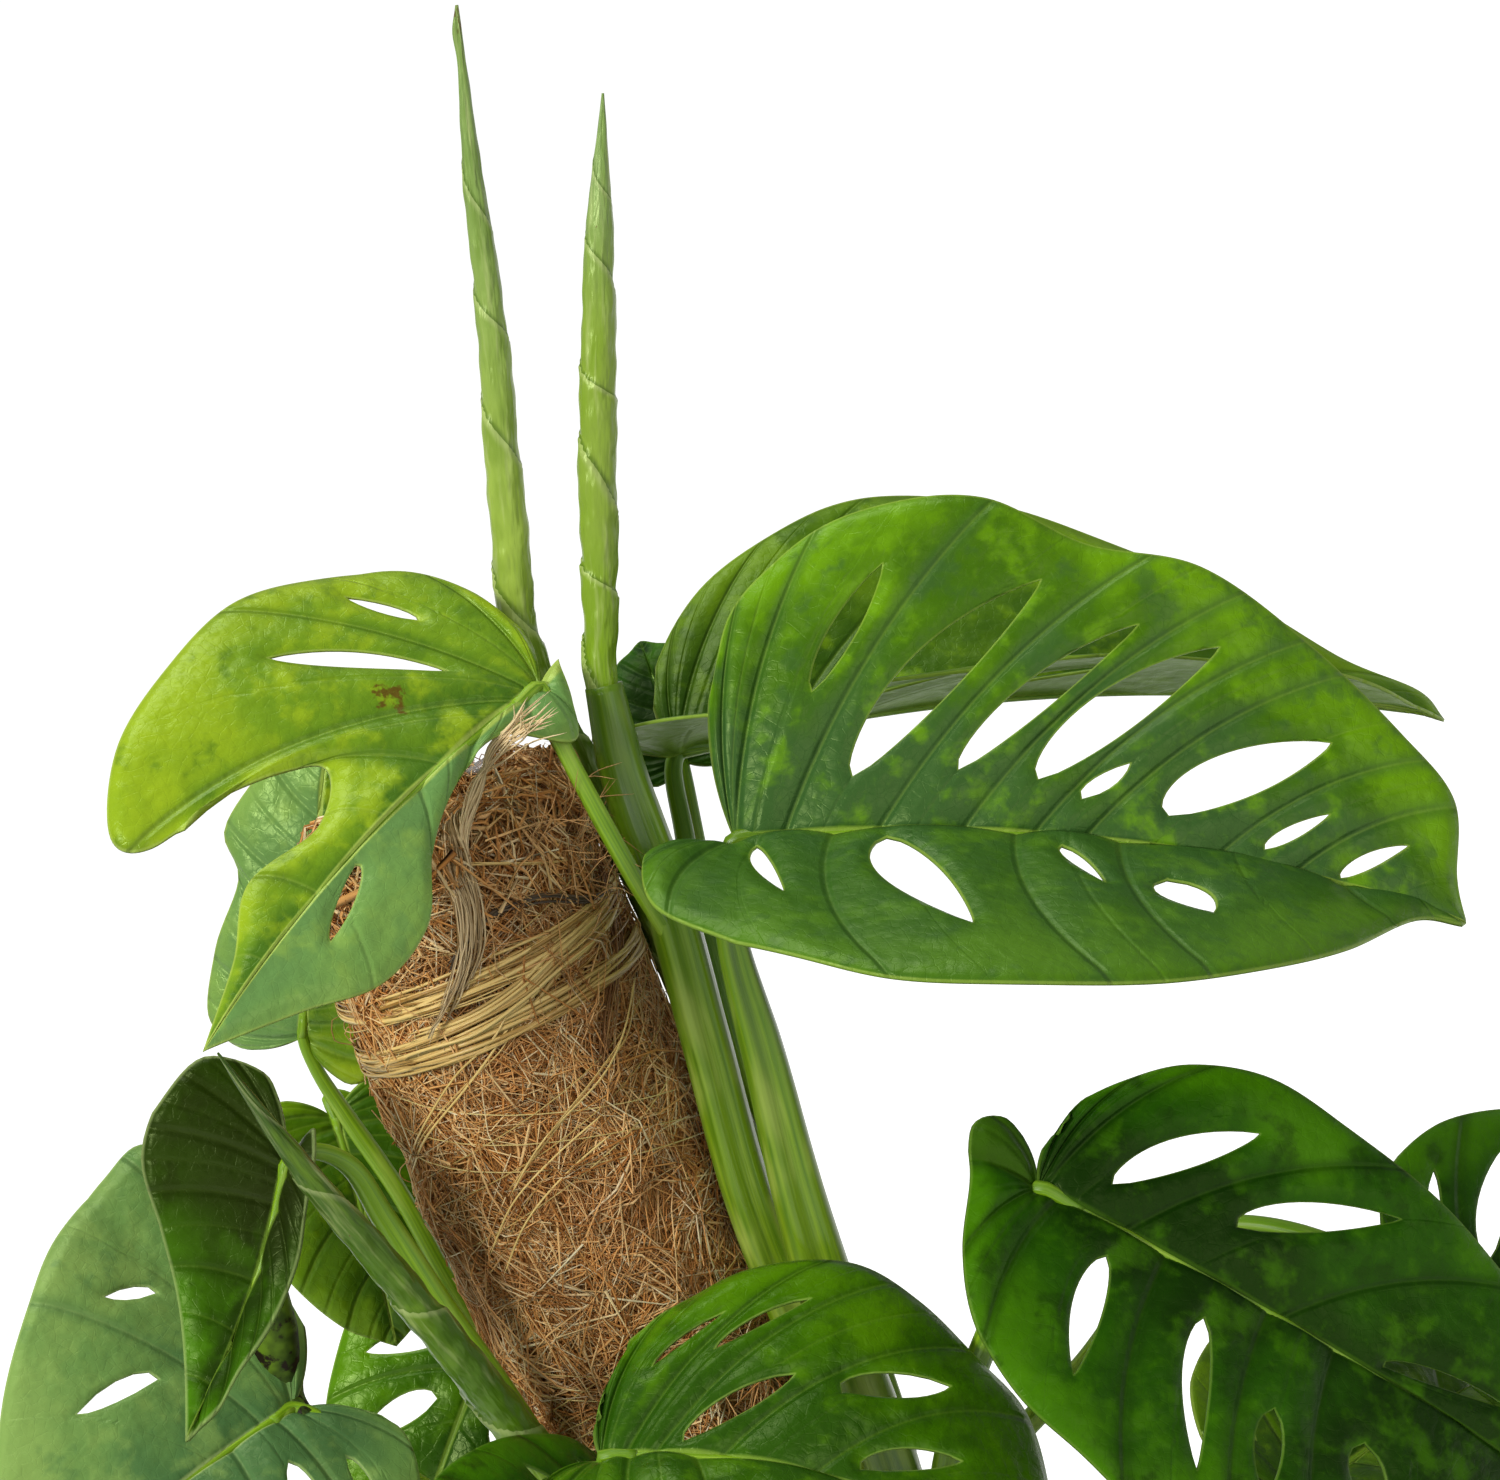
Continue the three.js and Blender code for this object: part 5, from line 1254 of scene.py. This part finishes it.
# The large leaf at the top right: eight holes above the midrib and four below, on a thick stalk
# with a deep channel, and the bright leaf behind it, seen half edge on.
grow_leaf(
    "leaf_top_right", "leaf_deep", "deep", [55.9, -34, 446.5], [183.8, -40, 376.8], [0, -0.88, 0.48],
    measured(6, -10, 0.06, [
        (0, -8, 27), (0, -5, 46), (0, 7, 60), (0.02, 22, 66), (0.06, 42, 67), (0.13, 63, 59),
        (0.24, 86, 57), (0.40, 109, 46), (0.58, 129, 33), (0.74, 141, 23), (0.88, 143, 8)],
        [(0.319, 0.40, 0.319, 0.78, 0.020), (0.438, 0.16, 0.456, 0.84, 0.033),
         (0.544, 0.18, 0.562, 0.74, 0.017), (0.606, 0.18, 0.612, 0.80, 0.020),
         (0.645, 0.14, 0.651, 0.30, 0.008), (0.705, 0.14, 0.722, 0.74, 0.025),
         (0.788, 0.09, 0.794, 0.41, 0.008), (0.862, 0.05, 0.862, 0.61, 0.009)]),
    measured(52, -8, 0.10, [
        (0, -13, 3), (0, -18, 11), (0, -16, 30), (0.02, -3, 41), (0.06, 11, 51), (0.14, 30, 59),
        (0.26, 52, 61), (0.42, 77, 55), (0.58, 99, 44), (0.72, 118, 28), (0.87, 135, 5)],
        [(0.331, 0.11, 0.394, 0.46, 0.019), (0.506, 0.06, 0.556, 0.64, 0.028),
         (0.644, 0.10, 0.669, 0.35, 0.008), (0.719, 0.29, 0.738, 0.58, 0.020)]),
    [dict(points=[(32, -21, 284), (37, -32, 312), (38.1, -34, 339), (41, -33, 373), (45, -32, 402),
                  (48.5, -32, 430), (53, -33, 442), BLADE_FOOT],
          radii=[5, 6.2, 6.3, 5.8, 5, 4.2, 2.8, 1.2], sides=28, finish=SHEATH,
          section=grooved(0.3, 0.5, 0.10))],
    arch=7, sweep=6.5, veins_apart=0.13, rows=34, step=1.5, quilt=1.7, wave=0.6)
grow_leaf(
    "leaf_behind_top_right", "leaf_fresh", "sunlit", [51.5, 18, 455.3], [202.6, 45, 394.2],
    [0, -0.75, 0.66],
    measured(-8, -8, 0.06, [
        (0, -3, 12), (0, 1, 26), (0, 11, 39), (0, 26, 49), (0.02, 42, 56), (0.06, 57, 57),
        (0.13, 78, 51), (0.26, 99, 41), (0.42, 123, 27), (0.60, 144, 13), (0.80, 161, 7)],
        [(0.70, 0.25, 0.73, 0.50, 0.010)]),
    plain(0.55, 75, curl=-20),
    [dict(points=[(32, -21, 280), (41, -15, 312), (42, -4, 350), (40, 4, 385), (43, 11, 418),
                  (46.5, 15, 440), BLADE_FOOT],
          radii=[2.6, 2.8, 2.6, 2.4, 1.6])],
    arch=10, sweep=4, veins_apart=0.16, quilt=1.0)

# Leaves at the right: the dark one in front with its twisted lobe, one at the photograph's edge,
# one under them, and the small dark lobe that shows between the spears.
grow_leaf(
    "leaf_lower_right", "leaf_dark", "dark", [85.5, -70, 368.5], [163.5, -70, 262], [0.15, -0.80, 0.60],
    measured(10, -14, 0.08, [
        (0, -3, 7), (0, -1, 18), (0, 5, 27), (0, 15, 36), (0.03, 30, 41), (0.08, 49, 40),
        (0.18, 69, 37), (0.34, 88, 32), (0.55, 108, 24), (0.78, 122, 12)],
        [(0.475, 0.14, 0.494, 0.68, 0.034), (0.625, 0.24, 0.650, 0.76, 0.024),
         (0.806, 0.06, 0.869, 0.40, 0.016)]),
    measured(10, -14, 0.08, [
        (0, -6, -8), (0, -12, -10), (0, -17, -5), (0, -13, 6), (0, -9, 20), (0.02, -2, 32),
        (0.07, 11, 41), (0.14, 26, 46), (0.25, 44, 51), (0.40, 67, 52), (0.58, 94, 43), (0.80, 115, 24)],
        [(0.575, 0.15, 0.575, 0.71, 0.021), (0.694, 0.16, 0.712, 0.70, 0.013),
         (0.765, 0.34, 0.765, 0.68, 0.010), (0.830, 0.31, 0.838, 0.62, 0.012)]),
    [dict(points=[(32, -21, 262), (40, -28, 286), (46.7, -37, 309), (56.5, -45, 326), (73.5, -56, 349),
                  (83, -67, 365.5), BLADE_FOOT],
          radii=[3.4, 3.2, 2.8, 2.6, 1.4])],
    arch=6, veins_apart=0.13, rows=28, step=1.8, quilt=1.8)
grow_leaf(
    "leaf_far_right", "leaf_deep", "dark", [154.9, -15, 291.8], [219, 40, 251], [0.1, -0.75, 0.65],
    plain(1, 15), plain(1, 20),
    [dict(points=[(27, 27, 262), (45, 25, 280), (80, 19, 300), (115, 8, 322), (144, -8, 308), BLADE_FOOT],
          radii=[2.8, 2.6, 2.4, 2.2, 1.3])],
    arch=7)
grow_leaf(
    "leaf_under_right", "leaf_fresh", "sunlit", [111.1, -42, 278.6], [166.4, 20, 263.3], [0, -0.75, 0.65],
    plain(1, 15), plain(1, 20),
    [dict(points=[(32, -21, 225), (48, -27, 243), (72, -34, 264), (100, -41, 280), BLADE_FOOT],
          radii=[2.8, 2.6, 2.4, 1.3])],
    arch=5)
grow_leaf(
    "leaf_behind_spears", "leaf_dark", "dark", [51.6, 40, 448.3], [52.4, 62, 470.6], [0, -0.9, 0.4],
    plain(1, 10, holes=()), plain(1, 10, holes=()),
    [dict(points=[(27, 27, 318), (33, 33, 345), (40, 38, 390), (48, 39, 430), BLADE_FOOT],
          radii=[2.4, 2.2, 2, 1])],
    arch=2, rows=12, step=2.4)

# Leaves at the left: the pale torn one on top with the thick sheathed stalk that the short spear
# grows from, and behind and under it the cupped, the large and the backlit ones.
grow_leaf(
    "leaf_top_left", "leaf_pale", "pale", [31.8, -22, 487.3], [-50.7, -88, 460.6], [-0.30, -0.80, 0.50],
    measured(-25, -0.5, 0.05, [
        (0, -8, -1), (0, -2, 7), (0, 5, 13), (0.08, 16, 3), (0.20, 32, 5), (0.32, 46, 11),
        (0.45, 60, 20), (0.60, 76, 20), (0.80, 91, 11)],
        [(0.740, 0.08, 0.820, 0.42, 0.024)]),
    measured(16, -8, 0.07, [
        (0, -9, 10), (0, -10, 24), (0, -5, 38), (0, 7, 48), (0.02, 24, 55), (0.025, 46, 54), (0.03, 67, 50),
        (0.037, 83, 40), (0.08, 80, 32), (0.16, 62, 27), (0.315, 45, 17), (0.47, 57, 9), (0.66, 76, 12),
        (0.82, 91, 5)],
        [(0.244, 0.50, 0.244, 0.78, 0.013), (0.369, 0.22, 0.363, 0.71, 0.022)]),
    [dict(points=[(37, -17, 425), (34.5, -23.5, 445), (32.6, -26, 463), (31.4, -25, 477), BLADE_FOOT],
          radii=[1.6, 1.9, 1.9, 1.7, 1.2]),
     dict(points=[(32, -21, 300), (31, -21, 340), (31.4, -20.5, 373), (35.4, -18, 407), (38.9, -16, 436),
                  (40, -13, 461), (43.1, -10.5, 480)],
          radii=[5] * 13 + [4.6, 3.8], sides=28, finish=SHEATH, section=grooved(0.22, 0.45, 0.12))],
    arch=5, sweep=-2, veins_apart=0.16, rows=28, step=1.6, quilt=1.4, wave=0.7)
grow_leaf(
    "leaf_behind_top_left", "leaf_pale", "pale", [-43, 36, 424.9], [-11.8, 44, 484.7], [-0.1, -0.95, 0.25],
    measured(-10, -10, 0.06, [
        (0, -3, 4), (0, -4, 14), (0, 2, 21), (0.10, 16, 21), (0.25, 31, 17), (0.42, 41, 21),
        (0.62, 54, 14), (0.82, 63, 7)]),
    plain(0.8, -5, holes=()),
    [dict(points=[(-29, 24, 344), (-34, 31, 362), (-37, 34, 387), (-41, 36, 406), (-43, 36.5, 418),
                  BLADE_FOOT],
          radii=[2.2, 2, 2, 1.1])],
    arch=3, rows=14)
grow_leaf(
    "leaf_cupped_left", "leaf_fresh", "cupped", [-48.5, -46, 423.5], [-85.8, -66, 384.7],
    [-0.45, -0.80, 0.1],
    plain(0.34, 25, curl=20, holes=()),
    measured(15, 30, 0.06, [
        (0, -9, 4), (0, -15, 10), (0, -14, 22), (0, -3, 27), (0.08, 9, 28), (0.25, 20, 21),
        (0.60, 34, 12)]),
    [dict(points=[(-26, -26, 328), (-27, -30, 346), (-29, -32, 360), (-33, -35, 382), (-36, -38, 403),
                  (-38, -42, 417), (-43, -45, 423), BLADE_FOOT],
          radii=[3.4, 3.3, 3.1, 2.8, 2.2, 1.2])],
    arch=-6, rows=16, step=2)
# The large leaf at the left wears the skin with painted sheen.
grow_leaf(
    "leaf_big_left", "leaf_deep", "painted_sheen", [-68.3, -28, 371], [-143.7, -75, 357.8], [-0.35, -0.85, 0.40],
    plain(1, 5, curl=-20),
    measured(12, -6, 0.08, [
        (0, -14, 11), (0, -21, 41), (0, -18, 61), (0, -5, 61), (0.04, 13, 56), (0.10, 29, 47),
        (0.20, 44, 37), (0.38, 58, 25), (0.65, 75, 11)],
        [(0.440, 0.61, 0.500, 0.76, 0.018), (0.600, 0.42, 0.700, 0.66, 0.030)]),
    [dict(points=[(-26, -26, 298), (-36, -28, 320), (-54, -30, 350), (-63, -29.5, 365), BLADE_FOOT],
          radii=[3.6, 3.6, 3.2, 2.6, 1.4], section=grooved(0.25, 0.5, 0.1)),
     dict(points=[(-66, -29.5, 368.6), (-69.3, -22, 372), (-65, -21, 391), (-60, -21, 408)],
          radii=[1.5, 4.5, 5, 3.4, 1], finish=WITHERED, section=None)],
    arch=8, rows=24, step=2)
grow_leaf(
    "leaf_backlit_left", "leaf_pale", "sunlit", [-44.7, 52, 402], [-51.2, 47, 352], [0.2, -0.95, 0.2],
    plain(1, 5, holes=()), plain(1, 5, holes=()),
    [dict(points=[(-29, 24, 322), (-26, 36, 334), (-28, 48, 352), (-34, 56, 385), (-40, 57, 403),
                  (-44.6, 55, 406.5), BLADE_FOOT],
          radii=[2, 1.9, 1.8, 1.4, 1])],
    arch=3, rows=14)
grow_leaf(
    "leaf_lower_left", "leaf_fresh", "fresh", [-28.5, 62, 346], [-74.2, 50, 297], [-0.2, -0.9, 0.3],
    plain(1, 5), plain(1, 5),
    [dict(points=[(-29, 24, 296), (-24, 42, 308), (-25, 58, 330), BLADE_FOOT], radii=[2.2, 2, 1.2])],
    arch=4)

# Leaves before the pole's foot, and the low leaves round the pot, which the photograph leaves out.
# They are thin blades of the usual outline on soft stalks that bend out from the same vines.
grow_leaf(
    "leaf_front", "leaf_fresh", "fresh", [-12.2, -76, 353.2], [56.4, -84, 297.6], [0.1, -0.72, 0.69],
    measured(0.1, -30, 0.08, [
        (0, -3, 5), (0, -3, 15), (0, 1, 29), (0, 8, 37), (0.02, 18, 44), (0.06, 37, 49),
        (0.14, 52, 45), (0.26, 66, 39), (0.42, 78, 33), (0.60, 86, 22), (0.80, 89, 11)],
        [(0.363, 0.41, 0.410, 0.65, 0.014), (0.458, 0.43, 0.490, 0.74, 0.014),
         (0.550, 0.05, 0.595, 0.40, 0.028), (0.663, 0.40, 0.700, 0.74, 0.031),
         (0.775, 0.10, 0.812, 0.50, 0.021)]),
    plain(1, 30, curl=-20),
    [dict(points=[(32, -21, 240), (24, -36, 262), (8, -52, 296), (-6, -68, 332), (-11, -74.5, 348),
                  BLADE_FOOT],
          radii=[3, 2.8, 2.6, 1.4])],
    arch=8, sweep=6, veins_apart=0.13, rows=26, step=1.7, quilt=1.6)
grow_leaf(
    "leaf_front_dark", "leaf_dark", "dark", [-10.1, -64, 322], [-49.8, -100, 362], [-0.1, -0.6, 0.8],
    plain(0.9, 10), plain(0.9, 10),
    [dict(points=[(-26, -26, 262), (-22, -40, 280), (-13, -56, 305), BLADE_FOOT], radii=[2.6, 2.4, 1.3])],
    arch=5)
for node, vine, height, joint, tip in (
        ("leaf_low_front_right", "vine_right", 185, (92, -82, 240), (150, -146, 196)),
        ("leaf_low_front_left", "vine_left", 180, (-60, -88, 238), (-112, -156, 196)),
        ("leaf_low_front", "vine_right", 168, (14, -104, 212), (26, -182, 172)),
        ("leaf_low_side_left", "vine_back_left", 205, (-98, 20, 268), (-176, 34, 226)),
        ("leaf_low_back_left", "vine_back_left", 186, (-42, 92, 262), (-66, 168, 214)),
        ("leaf_low_back_right", "vine_back_right", 186, (62, 74, 248), (112, 138, 200))):
    foot = np.array([*VINES[vine][0][0][:2], height], float)
    lean = np.array(joint, float) - foot
    grow_leaf(
        node, "leaf_deep", "deep", joint, tip, (tip[0] / 500, tip[1] / 500, 0.9),
        plain(0.95, 12), plain(0.95, 12),
        [dict(points=[foot, foot + lean * 0.35 + (0, 0, 3), foot + lean * 0.8 + (0, 0, 6), BLADE_FOOT],
              radii=[2.8, 2.6, 1.4], front=(0, 0, 1))],
        arch=8, veins_apart=0.14, rows=18, step=2.6)


# Spears: young leaves still rolled up tight. The margin shows as a low step that winds round the
# roll, and the tip is drawn out to a fine point.
def wound(turn, share, turns):
    """How far round the roll a point lies from its outer edge, from 0 to 1; the pitch wanders a little"""
    return (turn / (2 * math.pi) - turns * share + 0.3 + 0.16 * np.sin(share * 23)) % 1


def rolled_leaf(turns, rings, ear):
    """A roll whose outer edge winds upwards: the radius grows round the turn and falls at the edge.
    Rings are low ridges near its foot, and an ear is a fold that stands off near its tip"""
    def section(turn, share, travelled):
        spot = wound(turn, share, turns)
        edge = np.clip(spot / 0.07, 0, 1)
        swell = 0.03 * np.sin(travelled * 0.5 + turn) + 0.02 * np.sin(travelled * 0.93 - 2 * turn)
        factor = 1 + (0.26 - 0.16 * share) * (spot * edge - 0.5) * np.clip(travelled / 12, 0, 1) + swell
        for ring in rings:
            factor = factor + 0.06 * np.exp(-((travelled - ring) / 1.0) ** 2)
        if ear:
            turned_off = (turn - 4.5 + math.pi) % (2 * math.pi) - math.pi
            factor = factor + 1.9 * np.exp(-((travelled - ear) / 4.0) ** 2 - (turned_off / 0.4) ** 2)
        return factor
    return section


def spear_finish(name, foot, middle, tip, turns, foot_ends=(0.12, 0.4), torn=None):
    """Rolled young leaf: bright at its foot, pale along its middle and greyer green at the tip, with
    slanting veins, a wet sheen, a painted shadow line under its winding edge and a few brown scratches"""
    finish, add, drive = new_finish(name, middle, 0.3, 0.4, {"Specular Tint": paint("#eeffb8")})
    coords = stored(add, "grain", "Vector")
    share = stored(add, "share")
    parts = add("ShaderNodeSeparateXYZ", {0: coords})
    angle = maths(add, "ARCTAN2", parts.outputs[1], parts.outputs[0])
    round_roll = maths(add, "DIVIDE", angle, 2 * math.pi)
    wander = times(add, maths(add, "SINE", times(add, share, 23.0)), 0.16)
    climbed = plus(add, times(add, share, -turns), wander)
    edge = maths(add, "FRACT", plus(add, round_roll, plus(add, climbed, 3.3)))
    streaks = grain(add, stretched(add, coords, (0.5, 0.5, 0.06)), 1.0, 3)
    patches = grain(add, stretched(add, coords, (0.2, 0.2, 0.07)), 1.0, 2)
    base = blend(add, fade(add, share, *foot_ends), foot, middle)
    base = blend(add, fade(add, share, 0.6, 0.95), base, tip)
    base = blend(add, fade(add, patches, 0.45, 0.7, 0, 0.45), base, foot)
    base = blend(add, fade(add, streaks, 0.5, 0.75, 0, 0.4), base, "#d3dd94")
    # painted shadow: a dark line just under the winding edge of the roll
    base = blend(add, fade(add, edge, 0.0, 0.07, 0.7, 0), base, "#466610")
    base = blend(add, fade(add, edge, 0.9, 0.99, 0, 0.3), base, "#dce6a0")
    scratches = grain(add, stretched(add, coords, (0.35, 0.35, 0.45)), 1.0, 4)
    if torn:
        off = maths(add, "ABSOLUTE", maths(add, "SUBTRACT", parts.outputs[2], torn))
        scratches = plus(add, scratches, fade(add, off, 1.0, 9.0, 0.24, 0.0))
    base = blend(add, fade(add, scratches, 0.73, 0.78, 0, 0.9), base, "#5d4218")
    drive("Base Color", base)
    dents = grain(add, stretched(add, coords, (0.3, 0.3, 0.12)), 1.0, 2)
    relief(add, drive, plus(add, streaks, times(add, dents, 2.5)), 0.5, 0.0008)
    return finish


for node, colours, more, points, radii, turns, rings, ear in (
        ("spear_tall", ("pale_young_leaf", "#5e7e12", "#a6c048", "#84a254"), ((0.59, 0.68), 329),
         [(32, -21, 292), (32, -11, 310), (33.8, -6, 340), (34, 0, 400), (34, 2, 440), (32.6, 1, 468),
          (31.1, 0, 490.5), (37.8, 0, 516.2), (49.1, 0, 552.6), (58.4, 0, 587.3), (66.7, 0, 614.5)],
         [2.8, 2.8, 2.8, 2.8, 2.9, 3.6, 3.9, 3.3, 2.2, 0.25], -12.0, (209, 216), 327),
        ("spear_short", ("greener_young_leaf", "#7a9e16", "#8ca83a", "#86a45e"), (),
         [(40.6, -12.1, 466), (43.1, -10, 480.75), (48.8, -9, 496), (60.3, -8, 525.7), (74.5, -7, 560.4),
          (86.6, -6, 588.6)],
         [3.0, 3.5, 3.9, 3.6, 2.8, 0.25], -6.5, (), 0),
        ("spear_low", ("deep_young_leaf", "#769a18", "#446a08", "#2c4c10"), (),
         [(-26, -26, 314), (-26.5, -38, 332), (-26.5, -43, 348), (-31.2, -50, 371), (-36.6, -57, 395),
          (-44.5, -66, 427), (-50.1, -70, 454.6)],
         [4, 4.4, 4.2, 3.6, 2.6, 0.25], -5.0, (), 0)):
    stem_piece(node + "_roll", "spear", node, spear_finish(*colours, turns, *more), points, radii, 1.1, 36,
               (0.3, -1, 0), rolled_leaf(turns, rings, ear))
